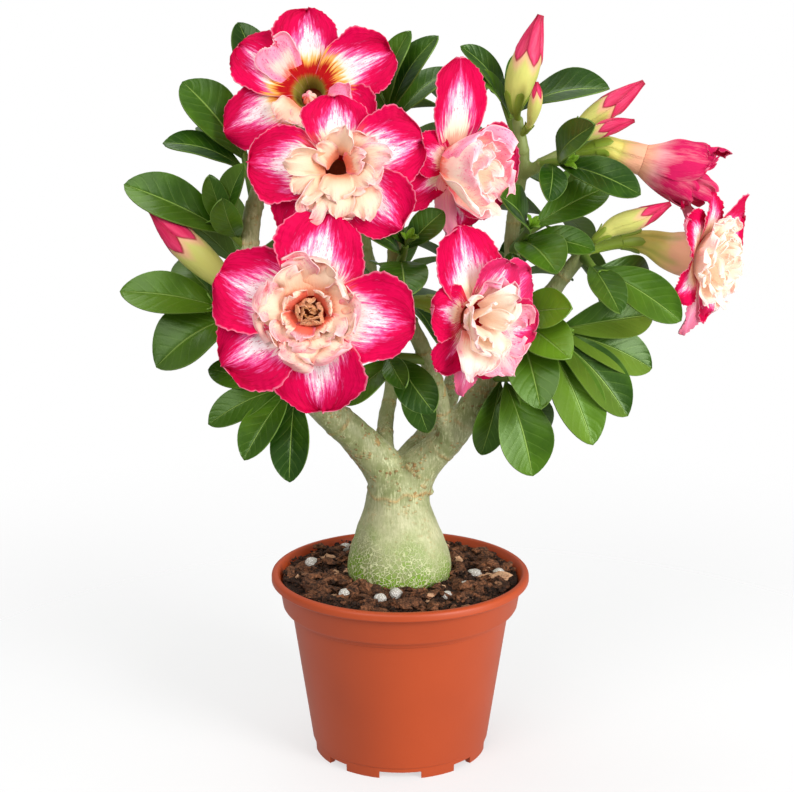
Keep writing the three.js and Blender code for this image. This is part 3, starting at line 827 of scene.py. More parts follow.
@dataclass(frozen=True)
class LeafFinish:
    """Glossy dark green leaves with a pale rib, fine side veins, a light underside and a painted highlight on
    one half of some blades.
    """

    dark: Colour = (0.011, 0.044, 0.002)
    green: Colour = (0.058, 0.142, 0.005)
    young: Colour = (0.15, 0.29, 0.014)
    rib: Colour = (0.24, 0.38, 0.07)
    under: Colour = (0.10, 0.18, 0.028)
    # turned: the bright green of a painted highlight on one half of a blade
    turned: Colour = (0.22, 0.34, 0.035)
    stem: Colour = (0.15, 0.23, 0.03)
    veins: float = 9.0
    rib_width: float = 0.032

    def material(self) -> Material:
        """Make the material.

        Returns:
            The material.
        """
        recipe = Recipe("leaf")
        along, across = recipe.uv()
        side = abs(across * 2.0 - 1.0)
        tone, under, stem, half = recipe.marks("tone", "under", "stem", "half")
        cloud = recipe.noise(recipe.place(), 60.0, 3.0)
        fine = recipe.noise(recipe.place(), 500.0, 3.0, 0.6)
        # lit: random tone, plus the painted highlight that some shoots add to their tone.
        lit = (cloud.step(0.36, 0.68) * 0.55 + tone * 0.65 + fine * 0.3 - 0.25).least(1.0)
        # The half mark picks one half of each blade for a painted highlight.
        painted_light_half = half.most(0.0) * across.step(0.52, 0.48) + (half * -1.0).most(0.0) * across.step(0.48, 0.52)
        rank = (along * self.veins - side * 2.1 + cloud * 0.5).zigzag()
        vein = rank.step(0.15, 0.0) * side.step(0.95, 0.4)
        rib = side.step(self.rib_width * 1.7, self.rib_width * 0.4) * along.step(1.02, 0.8)
        colour = recipe.coat(
            self.dark,
            (lit.most(0.0), self.green),
            (tone.step(0.8, 1.5), self.young),
            (painted_light_half * 0.62, self.turned),
            (vein * 0.18, self.rib),
            (rib * 0.80, self.rib),
            (side.step(0.965, 0.995) * 0.40, self.rib),
            (under * 0.85, recipe.mix((rib * 0.6 + vein * 0.25).least(1.0), self.under, self.rib)),
            (stem, recipe.mix(cloud.step(0.4, 0.65), self.stem, self.under)),
        )
        relief = rank.step(0.0, 0.6) * 0.10 - rib * 0.7 + fine * 0.14
        rough = 0.27 + cloud * 0.10 + under * 0.22 + stem * 0.12
        return recipe.finish(relief * (1.0 - stem), 0.0005, Base_Color=colour, Roughness=rough,
                             IOR=1.5, Specular_Tint=(0.70, 0.95, 0.50))


@dataclass(frozen=True)
class PetalFinish:
    """Crimson petals with a white flame of streaks and flecks, a red throat and a faint painted glow of their
    own colour.
    """

    crimson: Colour = (0.65, 0.0012, 0.066)
    deep: Colour = (0.36, 0.0005, 0.026)
    pink: Colour = (0.86, 0.09, 0.33)
    white: Colour = (0.96, 0.79, 0.82)
    cream: Colour = (0.96, 0.82, 0.60)
    amber: Colour = (0.88, 0.42, 0.08)
    blood: Colour = (0.42, 0.006, 0.008)
    olive: Colour = (0.30, 0.25, 0.04)
    rim: Colour = (0.88, 0.28, 0.42)
    back: Colour = (0.84, 0.36, 0.38)
    wine: Colour = (0.58, 0.012, 0.095)
    peach: Colour = (0.86, 0.42, 0.26)
    # glow: a faint emission of the petals' own colour, a painted glow that lifts their shade
    glow: float = 0.05

    def material(self) -> Material:
        """Make the material.

        Returns:
            The material.
        """
        recipe = Recipe("petal")
        along, across = recipe.uv()
        share = along * (1.0 + THROAT_SHARE) - THROAT_SHARE
        side = abs(across * 2.0 - 1.0)
        tone, under, blush = recipe.marks("tone", "under", "blush")
        faded, white, starred = recipe.marks("pale", "white", "star")
        wide = recipe.grain(across * 5.0 + tone * 40.0, share * 1.6, tone * 7.0)
        stroke = recipe.grain(across * 34.0 + tone * 90.0, share * 4.5, tone, 3.0, 0.6)
        fleck = recipe.grain(across * 85.0 + tone * 33.0, share * 15.0, tone * 3.0, 2.0, 0.6)
        cloudy, streaky, dotty = wide - 0.5, stroke - 0.5, fleck - 0.5
        reach = 0.80 - share + cloudy * 0.50 + streaky * 0.95 + dotty * 0.35
        inside = reach - side * 0.88 - (1.0 - white) * 0.45
        shade = wide.step(0.40, 0.75) * 0.45 + stroke.step(0.46, 0.64) * 0.45 + share.step(0.60, 1.0) * 0.25
        spotted = fleck.step(0.575, 0.64) * inside.step(-0.1, 0.2) * share.step(0.12, 0.3)
        star = share + streaky * 0.34 - (0.5 - abs(side - 0.35)) * 0.07
        throat = share + streaky * 0.1
        margin = (side + dotty * 0.06).step(0.955, 0.995).most((share + dotty * 0.03).step(0.972, 0.995))
        colour = recipe.coat(
            self.crimson,
            (shade.least(1.0), self.deep),
            (faded * 0.5, self.pink),
            (inside.step(-0.18, 0.14), self.pink),
            (inside.step(0.02, 0.36), self.white),
            (spotted * 0.8, self.wine),
            (share.step(0.36, 0.06) * inside.step(0.0, 0.25), self.cream),
            (star.step(0.19, 0.08) * starred, self.amber),
            (star.step(0.10, 0.0) * (starred * 0.6 + 0.4), self.blood),
            (throat.step(-0.05, -0.14) * starred.step(0.5, 0.9), self.olive),
            (throat.step(0.0, -0.12) * starred.step(0.9, 0.5), self.blood),
            (margin * 0.50, self.rim),
        )
        pale = recipe.mix(wide.step(0.3, 0.7), self.back, self.rim)
        pale = recipe.mix(share.step(-0.10, 0.30), self.cream, pale)
        rosy = (share.step(-0.15, 0.42) + streaky * 0.9 + cloudy * 1.5).least(1.0).most(0.0)
        rich = recipe.mix(rosy, recipe.mix(share.step(-0.30, 0.15), self.peach, self.back), self.wine)
        colour = recipe.coat(
            colour,
            (faded.step(0.5, 1.0), recipe.mix(stroke.step(0.35, 0.65), pale, self.rim)),
            (under, recipe.mix(blush.least(1.0), pale, rich)),
        )
        # The emission of the petals' own colour is a painted glow standing in for light shining through them.
        return recipe.finish(stroke * 0.6 + wide * 0.4, 0.0005, Base_Color=colour,
                             Roughness=0.55 + stroke * 0.12, Specular_IOR_Level=0.05,
                             Emission_Color=colour, Emission_Strength=self.glow)


@dataclass(frozen=True)
class InnerPetalFinish:
    """Ivory to apricot inner petals with a frilled pink edge, flecks, red blotches low down and a painted
    glow.
    """

    ivory: Colour = (0.95, 0.83, 0.68)
    apricot: Colour = (0.97, 0.66, 0.47)
    peach: Colour = (0.95, 0.45, 0.23)
    rose: Colour = (0.95, 0.50, 0.52)
    pink: Colour = (0.88, 0.24, 0.38)
    magenta: Colour = (0.76, 0.02, 0.17)
    red: Colour = (0.78, 0.050, 0.02)
    pale: Colour = (0.98, 0.80, 0.78)
    gold: Colour = (0.52, 0.22, 0.06)
    unlit: Colour = (0.0, 0.0, 0.0)
    # glow: emission of the petals' own colour, a painted glow that lifts their shade
    glow: float = 0.30

    def material(self) -> Material:
        """Make the material.

        Returns:
            The material.
        """
        recipe = Recipe("inner petal")
        along, across = recipe.uv()
        side = abs(across * 2.0 - 1.0)
        tone, blush, gold, warm, rust, lit = recipe.marks("tone", "blush", "gold", "warm", "rust", "lit")
        wide = recipe.grain(across * 3.5 + tone * 30.0, along * 2.0, tone * 5.0)
        stroke = recipe.grain(across * 26.0 + tone * 60.0, along * 4.0, tone * 9.0, 3.0, 0.6)
        fleck = recipe.grain(across * 60.0, along * 22.0, tone * 9.0, 3.0, 0.6)
        cloudy, streaky, dotty = wide - 0.5, stroke - 0.5, fleck - 0.5
        low = (along - rust + streaky * 0.5 + cloudy * 0.5).step(0.38, 0.10)
        edge = along.most(side * 0.97) + streaky * 0.34 + cloudy * 0.25
        rosy = (edge + blush * 0.42 - 0.2).step(0.70, 1.02) * (0.22 + blush * 0.62).least(1.0)
        flecks = (fleck + streaky * 0.5).step(0.56, 0.66) * (edge + blush * 0.3 - 0.15).step(0.62, 0.9)
        rim = (along.most(side) + dotty * 0.05).step(0.96, 1.0)
        colour = recipe.coat(
            self.ivory,
            ((warm + cloudy * 1.4).least(1.0).most(0.0), self.apricot),
            (along.step(0.75, 0.08) * (warm * 0.66 + 0.08), self.peach),
            ((blush * 0.8 - 0.30 + cloudy * 1.1).least(0.9).most(0.0), self.rose),
            (low * (blush * 1.2).most(rust * 1.6).least(0.85), self.red),
            (rosy, self.pink),
            (flecks * (0.20 + blush * 0.55).least(0.9), self.magenta),
            (rim * 0.5, self.pale),
            (gold, recipe.mix(stroke.step(0.42, 0.62), self.gold, self.peach)),
        )
        # Emission of their own colour where the lit mark is 1, and none where it is 0: a painted glow over
        # their shade.
        return recipe.finish(stroke * 0.7 + fleck * 0.3, 0.0004, Base_Color=colour, Roughness=0.55,
                             Specular_IOR_Level=0.14, Emission_Color=recipe.mix(lit, self.unlit, colour),
                             Emission_Strength=self.glow)


@dataclass(frozen=True)
class TubeFinish:
    """The corolla's tube: peach by the petals, ribbed yellow-green behind, green at the stalk, with a faint
    painted glow.
    """

    inside: Colour = (0.30, 0.05, 0.015)
    peach: Colour = (0.86, 0.42, 0.26)
    yellow: Colour = (0.66, 0.58, 0.13)
    green: Colour = (0.22, 0.32, 0.03)
    # glow: emission of the tube's own colour, a painted glow that lifts its shade
    glow: float = 0.08

    def material(self) -> Material:
        """Make the material.

        Returns:
            The material.
        """
        recipe = Recipe("corolla tube")
        along, turn, sepal = recipe.marks("along", "turn", "sepal")
        fine = recipe.noise(recipe.spot(turn.sine() * 6.0, along * 4.0, turn), 2.0, 3.0)
        shifted = along + (fine - 0.5) * 0.18
        ribs = (turn * (5.0 / (2.0 * math.pi))).zigzag()
        colour = recipe.coat(
            self.peach,
            (shifted.step(0.10, 0.46), self.yellow),
            (shifted.step(0.50, 0.74), self.green),
            (ribs.step(0.5, 1.0) * along.step(0.05, 0.2) * 0.35, self.green),
            (along.step(-0.005, -0.02), self.inside),
            (sepal, self.green),
        )
        # The emission of the tube's own colour is a painted glow.
        return recipe.finish(fine, 0.0003, Base_Color=colour, Roughness=0.44, Specular_IOR_Level=0.3,
                             Emission_Color=colour, Emission_Strength=self.glow)


@dataclass(frozen=True)
class BudFinish:
    """A bud's yellow-green tube and its furled crimson petals."""

    green: Colour = (0.24, 0.33, 0.035)
    yellow: Colour = (0.62, 0.62, 0.16)
    blush: Colour = (0.90, 0.42, 0.30)
    crimson: Colour = (0.62, 0.006, 0.075)
    light: Colour = (0.78, 0.060, 0.16)
    deep: Colour = (0.30, 0.001, 0.016)

    def material(self) -> Material:
        """Make the material.

        Returns:
            The material.
        """
        recipe = Recipe("bud")
        along, furl, sepal, turn, lobe = recipe.marks("along", "furl", "sepal", "turn", "lobe")
        fine = recipe.noise(recipe.spot(turn.sine() * 3.0, along * 3.0, turn), 2.5, 3.0)
        level = lobe + (fine - 0.5) * 0.02
        lit = fine.step(0.35, 0.7) * 0.6 + along.step(0.9, 0.6) * 0.4
        shade = furl.step(0.55, 1.0) * 0.55 + furl.step(0.06, 0.0).most(furl.step(0.955, 0.99)) * 0.6
        rim = level.step(0.022, 0.004) * level.step(-0.02, 0.0) * 0.7
        dark = shade * level.step(-0.02, 0.02) + along.step(0.90, 1.0) * 0.6 + rim
        colour = recipe.coat(
            self.green,
            ((along + (fine - 0.5) * 0.1).step(0.12, 0.34), self.yellow),
            (level.step(-0.13, 0.0) * 0.8, self.blush),
            (level.step(-0.005, 0.012), recipe.mix(lit, self.crimson, self.light)),
            (dark.least(0.95), self.deep),
            (sepal, self.green),
        )
        return recipe.finish(fine, 0.0003, Base_Color=colour, Roughness=0.44, Specular_IOR_Level=0.25)


@dataclass(frozen=True)
class FloorFinish:
    """A pale studio floor that melts into the white round it."""

    white: Colour = (0.88, 0.88, 0.88)
    solid_to: float = 0.12
    gone_at: float = 0.60
    opacity: float = 0.4

    def material(self) -> Material:
        """Make the material.

        Returns:
            The material.
        """
        recipe = Recipe("studio floor")
        flat = recipe.scaled(recipe.place(), (1.0, 1.0, 0.0))
        away = recipe.node("ShaderNodeVectorMath", {"operation": "LENGTH"}, {0: flat}, "Value")
        return recipe.finish(Base_Color=self.white, Roughness=0.9, Specular_IOR_Level=0.0,
                             Alpha=away.step(self.gone_at, self.solid_to) * self.opacity)


class Finishes:
    """Every finish, made once."""

    def __init__(self) -> None:
        """Make the materials."""
        self.pot = PotFinish().material()
        self.soil = SoilFinish().material()
        self.perlite = PerliteFinish().material()
        self.bark = BarkFinish().material()
        self.leaf = LeafFinish().material()
        self.petal = PetalFinish().material()
        self.inner_petal = InnerPetalFinish().material()
        self.tube = TubeFinish().material()
        self.bud = BudFinish().material()
        self.floor = FloorFinish().material()


@dataclass(frozen=True)
class Assembly:
    """A part of the plant or of its studio, with the materials that dress it."""

    finishes: Finishes


# Pot and potting mix


@dataclass(frozen=True)
class Pot(Assembly):
    """A round moulded pot with a rolled lip, a band, a notched foot and a raised floor."""

    height: float = 86.2
    lip_radius: float = 60.0
    lip_height: float = 4.2
    lip_width: float = 3.4
    band_top_radius: float = 56.6
    band_radius: float = 54.8
    band_bottom: float = 71.0
    step_height: float = 4.0
    body_radius: float = 50.6
    foot_radius: float = 41.1
    skirt_height: float = 5.0
    skirt_step: float = 0.5
    wall: float = 1.6
    roll: float = 1.5
    lip_edge: float = 0.8
    edge: float = 0.25
    notch_height: float = 3.2
    notch_wide: float = 19.0
    notch_narrow: float = 11.0
    notches: int = 8
    drain_radius: float = 4.0
    drain_ring: float = 24.0
    drains: int = 4
    sides: int = 120

    def profile(self) -> list[tuple[float, float]]:
        """List the wall's section as radius and height, from the floor's underside round to its top.

        Returns:
            The section's corners.
        """
        foot, wall, skirt = self.foot_radius, self.wall, self.skirt_height
        step_base = self.band_bottom - self.step_height
        lip_low = self.height - self.lip_height
        inside, soft = self.lip_radius - self.lip_width, self.lip_edge
        roll = [
            (self.lip_radius - self.roll + self.roll * math.sin(angle),
             self.height - self.roll + self.roll * math.cos(angle))
            for angle in map(math.radians, (90, 60, 30, 0))
        ]
        return [
            (0.0, skirt - wall / 2),
            (foot - 3 * wall, skirt - wall / 2),
            (foot - 2 * wall, 0.0),
            (foot - self.skirt_step, 0.0),
            (foot - self.skirt_step / 2, skirt),
            (foot + self.skirt_step, skirt + 0.6),
            (self.body_radius, step_base),
            (self.body_radius + 0.9, step_base + 0.5),
            (self.body_radius + 1.4, step_base + 2.2),
            (self.band_radius - 0.6, self.band_bottom - 1.0),
            (self.band_radius, self.band_bottom),
            (self.band_top_radius, lip_low),
            (self.lip_radius - soft, lip_low),
            (self.lip_radius, lip_low + soft),
            *roll,
            (inside + soft, self.height),
            (inside, self.height - soft),
            (self.band_radius - wall, self.band_bottom + 1.0),
            (self.body_radius - wall, step_base + 1.0),
            (foot - wall, skirt + wall),
            (0.0, skirt + wall),
        ]

    def _cutter(self) -> Piece:
        """Model what the notches and drain holes take away, as one piece."""
        centre = Vector(POT_AXIS) * MM
        cutters = []
        for i in range(self.notches):
            width = self.notch_narrow if i % 2 else self.notch_wide
            turn = i / self.notches * 2 * math.pi
            way = Vector((math.cos(turn), math.sin(turn), 0.0))
            deselect()
            bpy.ops.mesh.primitive_cube_add(
                size=1.0, location=centre + way * self.foot_radius * MM, rotation=(0.0, 0.0, turn),
                scale=((4 * self.wall + 6) * MM, width * MM, 2 * self.notch_height * MM))
            cutters.append(bpy.context.object)
        for i in range(self.drains):
            turn = (i + 0.5) / self.drains * 2 * math.pi
            way = Vector((math.cos(turn), math.sin(turn), 0.0))
            spot = centre + way * self.drain_ring * MM + Vector((0.0, 0.0, self.skirt_height * MM))
            deselect()
            bpy.ops.mesh.primitive_cylinder_add(
                vertices=32, radius=self.drain_radius * MM, depth=4 * self.wall * MM, location=spot)
            cutters.append(bpy.context.object)
        return join(cutters, "pot-cutter")

    def build(self) -> None:
        """Turn the wall, cut its notches and holes, and soften its edges."""
        corners = self.profile()
        mesh = bpy.data.meshes.new("pot-wall")
        points = [((r + POT_AXIS[0]) * MM, POT_AXIS[1] * MM, z * MM) for r, z in corners]
        mesh.from_pydata(points, [(i, i + 1) for i in range(len(corners) - 1)], [])
        piece = placed("pot-wall", mesh)
        choose(piece)
        bpy.ops.object.mode_set(mode="EDIT")
        bpy.ops.mesh.select_all(action="SELECT")
        bpy.ops.mesh.spin(steps=self.sides, angle=2 * math.pi, center=Vector(POT_AXIS) * MM, axis=(0, 0, 1))
        bpy.ops.mesh.select_all(action="SELECT")
        bpy.ops.mesh.remove_doubles(threshold=MERGE)
        bpy.ops.mesh.normals_make_consistent(inside=False)
        bpy.ops.object.mode_set(mode="OBJECT")
        cutter = self._cutter()
        apply_modifier(piece, "BOOLEAN", operation="DIFFERENCE", object=cutter, solver="EXACT")
        bpy.data.objects.remove(cutter)
        apply_modifier(piece, "BEVEL", width=self.edge * MM, segments=2, limit_method="ANGLE",
                       angle_limit=math.radians(38))
        piece.name = "pot-shell"
        hand_over(piece, self.finishes.pot, "pot", "pot", crease=32)


@dataclass(frozen=True)
class PottingMix(Assembly):
    """The mix that fills the pot: peat crumbs, bark chips, threads of wood and perlite grains."""

    pot: Pot
    top: float = 83.0
    lump: float = 1.0
    edge_rise: float = 0.2
    perlite_lift: float = 1.8
    perlite_size: float = 1.18
    bed_floor: float = 7.0
    bed_gap: float = 0.5
    brim: float = 2.4
    wall_share: float = 0.28
    trunk_clear: float = 20.0
    crumbs: int = 2200
    chips: int = 300
    splinters: int = 90
    chip_size: float = 1.15
    seed: int = 7

    def level(self, x: float, y: float) -> float:
        """Give the height of the mix's top at a place."""
        wave = math.sin(x * 0.31 + 1.7 * math.sin(y * 0.23)) + math.sin(y * 0.37 + x * 0.11)
        return self.top + self.lump * wave

    def _bed(self) -> Piece:
        """Model the filled volume, with a finely crumbled top."""
        pattern = Pattern.ball(128, 96)
        share, turn = pattern.around()
        clear = self.pot.wall + self.bed_gap
        band, wall = self.pot.band_radius - clear, self.wall_share
        edge = band + self.brim
        heights = np.array([self.bed_floor, self.bed_floor, 65.0, 70.0, self.top + self.edge_rise])
        radii = np.array([0.0, self.pot.foot_radius - clear, self.pot.body_radius - clear, band, edge])
        stops = np.array([0.0, 0.1, 0.2, 0.24, wall])
        radius = np.where(share < wall, np.interp(share, stops, radii), edge * (1 - share) / (1 - wall))
        x, y = radius * np.cos(turn), radius * np.sin(turn)
        z = np.interp(share, stops, heights)
        for i in np.flatnonzero(share > wall):
            crumb = noise.fractal(Vector((x[i], y[i], 0.0)) * 0.35, 0.8, 2.0, 4) * 1.1
            rim = smooth(np.array(radius[i]), edge - 4, edge)
            z[i] = self.level(x[i], y[i]) * (1 - rim) + z[i] * rim + crumb * (1 - rim)
        bundle = Bundle()
        bundle.add(pattern, np.column_stack([x, y, z]), tone=0.0)
        return bundle.make("soil-bed")

    def _lump(self, draws: SeededDraws, size: Spot, pattern: Pattern, rough: float) -> Places:
        """Shape one broken lump of a size, turned at random."""
        offset = Vector((draws(), draws(), draws())) * 50
        pushed = np.array([
            p * (1 + rough * noise.noise(Vector(p) * 1.3 + offset)) for p in pattern.points
        ])
        a, b, c = (draws.between(-most, most) for most in (math.pi, 0.4, 0.4))
        turn = np.array([[math.cos(a), -math.sin(a), 0], [math.sin(a), math.cos(a), 0], [0, 0, 1]])
        tilt = np.array([[math.cos(b), 0, math.sin(b)], [0, 1, 0], [-math.sin(b), 0, math.cos(b)]])
        roll = np.array([[1, 0, 0], [0, math.cos(c), -math.sin(c)], [0, math.sin(c), math.cos(c)]])
        return (pushed * np.array(size)) @ (turn @ tilt @ roll).T

    def _scatter(self, draws: SeededDraws, count: int, kind: "Grain", bundle: Bundle,
                 pattern: Pattern) -> None:
        """Scatter lumps of one kind over the top of the mix, clear of the trunk and the lip.

        Args:
            draws: Random numbers.
            count: How many lumps.
            kind: Their kind.
            bundle: Where they are gathered.
            pattern: Their unshaped mesh.
        """
        form = kind.value
        for _ in range(count):
            turn = draws() * 2 * math.pi
            length = form.length * draws.between(0.5, 1.3)
            outer = self.pot.band_radius + 0.4 - length * 0.55
            radius = math.sqrt(draws.between(self.trunk_clear**2, outer**2))
            x, y = radius * math.cos(turn), radius * math.sin(turn)
            size = (length / 2, length * form.breadth / 2, length * form.depth / 2)
            lump = self._lump(draws, size, pattern, form.rough)
            rest = np.array([x, y, self.level(x, y) + size[2] * draws.between(0.0, 1.2)])
            tone = form.tone + 0.36 * (draws() - 0.6) if draws() > form.odd else 0.96
            bundle.add(pattern, lump + rest, tone=tone)

    def build(self) -> None:
        """Fill the pot, scatter the lumps and lay the perlite."""
        draws = SeededDraws(self.seed)
        bed = self._bed()
        crumb, chip = Pattern.lump(1), Pattern.lump(2, self.chip_size)
        bundle = Bundle()
        self._scatter(draws, self.crumbs, Grain.CRUMB, bundle, crumb)
        self._scatter(draws, self.chips, Grain.CHIP, bundle, chip)
        self._scatter(draws, self.splinters, Grain.SPLINTER, bundle, chip)
        mix = join([bed, bundle.make("soil-lumps")], "soil-mix")
        hand_over(mix, self.finishes.soil, "soil", "soil", crease=25)
        self._perlite()

    def _perlite(self) -> None:
        """Model a rough grain in the place of each perlite node."""
        nodes = sorted(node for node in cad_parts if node.startswith("perlite"))
        pattern = Pattern.lump(4)
        for number, node in enumerate(nodes):
            low, high = (np.array(corner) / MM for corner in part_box(node))
            middle = (low + high) / 2 - POT_AXIS + np.array([0.0, 0.0, self.perlite_lift])
            half = (high - low) / 2
            offset = Vector((number * 3.7, 1.3, 0.2))
            broad = np.array([noise.noise(Vector(p) * 1.4 + offset) for p in pattern.points])
            fine = np.array([noise.noise(Vector(p) * 5 + offset) for p in pattern.points])
            pushed = pattern.points * (self.perlite_size + 0.12 * broad + 0.06 * fine)[:, None]
            bundle = Bundle()
            bundle.add(pattern, pushed * half + middle)
            piece = bundle.make(f"{node}-grain")
            hand_over(piece, self.finishes.perlite, "perlite", node, crease=80)


@dataclass(frozen=True)
class GrainForm:
    """The size and look of one kind of lump in the mix."""

    length: float
    breadth: float
    depth: float
    rough: float
    tone: float
    odd: float


class Grain(Enum):
    """The kinds of lump in the mix."""

    CRUMB = GrainForm(2.4, 0.8, 0.65, 1.1, 0.40, 0.01)
    CHIP = GrainForm(7.2, 0.58, 0.40, 0.9, 0.80, 0.05)
    SPLINTER = GrainForm(6.4, 0.13, 0.12, 0.4, 0.72, 0.12)


# Trunk and branches


@dataclass(frozen=True)
class Branch:
    """A branch: its middle line and its radius along it."""

    line: Sequence[Spot]
    radii: Sequence[float]

    def limb(self) -> Limb:
        """Lay the branch's limb."""
        return Limb(self.line, self.radii)


TRUNK_HEIGHTS = (52, 60, 70, 79, 86, 92, 99, 106, 113, 120, 127, 132, 136)
TRUNK_RADII = (3, 10, 17.5, 22.6, 24.6, 24.1, 22, 19.4, 16.7, 14.6, 14.1, 12.8, 9)
TRUNK_SWAY = 1.2
BRANCHES = (
    Branch(((-1, 0, 124), (-8, -1, 136), (-16, -3, 146), (-25, -6, 156), (-35, -12, 167), (-47, -18, 184),
            (-58, -24, 205), (-64, -26, 228), (-64, -26, 249), (-59, -24, 268), (-53, -18, 284)),
           (11.8, 9.8, 8.2, 7.5, 7.1, 6.4, 5.4, 4.6, 4, 3.6, 3)),
    Branch(((2, 0, 124), (8, -2, 135), (15, -4, 143), (24, -8, 153), (35, -10, 171), (46, -8, 189),
            (54, -6, 202), (64, -8, 214), (75, -10, 229), (83, -12, 239)),
           (11.8, 9.4, 7.8, 6.8, 6.2, 5.5, 4.8, 4, 3.4, 2.8)),
    Branch(((46, -8, 189), (50, -3, 203), (51, 0, 217), (50, 4, 239), (52, 4, 259), (54, 0, 276),
           (51, 0, 294)),
           (4.6, 4.2, 3.8, 3.5, 3.2, 3, 2.6)),
    Branch(((53, 2, 268), (64, -6, 275), (75, -10, 281)), (2.8, 2.8, 2.6)),
    Branch(((21, -9, 154), (17, -16, 173), (13, -22, 187), (6, -29, 204), (-2, -31, 222), (-2, -29, 245),
            (4, -24, 268), (2, -14, 285)),
           (4.6, 4, 3.6, 3.4, 3.2, 3, 2.8, 2.4)),
    Branch(((2, 4, 136), (15, 18, 149), (26, 34, 169), (31, 50, 200), (30, 56, 228), (34, 52, 256)),
           (6.5, 5.4, 4.6, 4, 3.6, 3)),
    Branch(((-7, 4, 140), (-7, 16, 152), (-4, 30, 168), (-6, 46, 192), (-14, 56, 218), (-18, 56, 244),
            (-16, 46, 268)),
           (4.6, 3.8, 3.5, 3.4, 3.2, 3, 2.6)),
)


@dataclass(frozen=True)
class Tree(Assembly):
    """The swollen trunk with its branches, grown together as one piece."""

    voxel: float = 0.87
    first_ring: float = 12.5
    ring_step: float = 16.0
    ring_width: float = 0.55
    ring_height: float = 0.35
    knob: float = 1.2
    low_from: float = 113.0
    low_to: float = 87.0
    old_radius: float = 4.4
    young_radius: float = 2.7
    collar: float = 124.4
    collar_radius: float = 13.9
    collar_shift: float = 1.0
    ring_end: float = 8.0
    smoothing: float = 0.6
    smoothings: int = 5
    collar_turns: Sequence[float] = (-2.95, -2.2, -1.3, -0.2, 0.8, 2.2)
    knobs: int = 2
    seed: int = 31

    def build(self) -> None:
        """Grow the limbs together, then raise the rings and mark what the bark's finish reads."""
        line = [(TRUNK_SWAY * math.sin(height / 25), 0.0, height) for height in TRUNK_HEIGHTS]
        limbs = [Limb(line, TRUNK_RADII)] + [branch.limb() for branch in BRANCHES]
        bundle = Bundle()
        ball, bead = Pattern.ball(40, 70), Pattern.ball(10, 8)
        for limb in limbs:
            bundle.add(ball, limb.cover(ball))
        draws = SeededDraws(self.seed)
        for limb in limbs[1:]:
            for along in np.arange(self.first_ring, limb.curve.length - self.ring_end, self.ring_step):
                for _ in range(self.knobs):
                    angle = np.array([draws.between(0.0, 2 * math.pi)])
                    spot = limb.skin(np.array([along / limb.curve.length]), angle, 1.0, -0.5)
                    bundle.add(bead, bead.points * self.knob * draws.between(0.7, 1.15) + spot)
        for angle in self.collar_turns:
            x = self.collar_radius * math.cos(angle) + self.collar_shift
            y = self.collar_radius * math.sin(angle)
            bundle.add(bead, bead.points * self.knob + np.array([x, y, self.collar]))
        piece = bundle.make("trunk-bark")
        apply_modifier(piece, "REMESH", mode="VOXEL", voxel_size=self.voxel * MM, use_smooth_shade=True)
        apply_modifier(piece, "SMOOTH", factor=self.smoothing, iterations=self.smoothings)
        self._dress(piece, limbs)
        hand_over(piece, self.finishes.bark, "bark", "trunk", crease=80)

    def _dress(self, piece: Piece, limbs: Sequence[Limb]) -> None:
        """Raise ring scars and mark the low bark, the young bark, the rings and the branches.

        Args:
            piece: The grown-together mesh.
            limbs: The limbs that it is made of.
        """
        mesh = piece.data
        places = read_rows(mesh.vertices, "co", 3) / MM - POT_AXIS
        normals = read_rows(mesh.vertices, "normal", 3)
        tree = kdtree.KDTree(Limb.SAMPLES * len(limbs))
        info = []
        for number, limb in enumerate(limbs):
            for i, middle in enumerate(limb.middles):
                tree.insert(Vector(middle), len(info))
                info.append((number, i / (Limb.SAMPLES - 1) * limb.curve.length, limb.radii[i]))
        tree.balance()
        ring, young, branch = (np.zeros(len(places)) for _ in range(3))
        for i, place in enumerate(places):
            found = tree.find_n(Vector(place), 6)
            best = min(found, key=lambda hit: hit[2] - info[hit[1]][2])
            number, along, radius = info[best[1]]
            if number:
                wander = 1.6 * noise.noise(Vector(place) * 0.13)
                offset = (along + wander - self.first_ring) / self.ring_step
                ring[i] = math.exp(-((offset - round(offset)) * self.ring_step / self.ring_width) ** 2)
                young[i] = smooth(radius, self.old_radius, self.young_radius)
                branch[i] = 1.0
        wave = self.collar + 1.2 * np.sin(places[:, 0] * 0.25) + 0.8 * np.sin(places[:, 0] * 0.7)
        collar = np.exp(-(((places[:, 2] - wave) / (self.ring_width * 1.3)) ** 2))
        ring = np.maximum(ring * smooth(places[:, 2], 130, 138), collar)
        uneven = 3 * np.sin(places[:, 0] * 0.3) - 0.2 * places[:, 0]
        low = smooth(-places[:, 2] + uneven, -self.low_from, -self.low_to)
        branch = np.maximum(branch, smooth(places[:, 2], 112, 128)) * (1 - young)
        height = self.ring_height * ring * (1 - 0.5 * young)
        height += np.array([0.3 * noise.fractal(Vector(p) * 0.16, 1.0, 2.0, 3) for p in places])
        places = (places + normals * height[:, None] + POT_AXIS) * MM
        mesh.vertices.foreach_set("co", places.ravel())
        mesh.update()
        for name, values in (("low", low), ("young", young), ("ring", ring), ("limb", branch)):
            keep_mark(mesh, name, values)


# Leafy shoots


@dataclass(frozen=True)
class Shoot:
    """A leafy shoot: its stem, and its leaves' tips or their number and turn in a spiral.

    A tip's fourth number is the width of a broad leaf as a share of its length. light is a painted highlight
    added to the leaves' tone, and half says how much one half of each blade is painted lighter, as if it
    faced the light, or the other half where it is below 0.
    """

    name: str
    stem: Sequence[Spot]
    tips: Sequence[Spot] = ()
    leaves: int = 0
    turn: float = 0.0
    light: float = 0.0
    half: float = 0.0
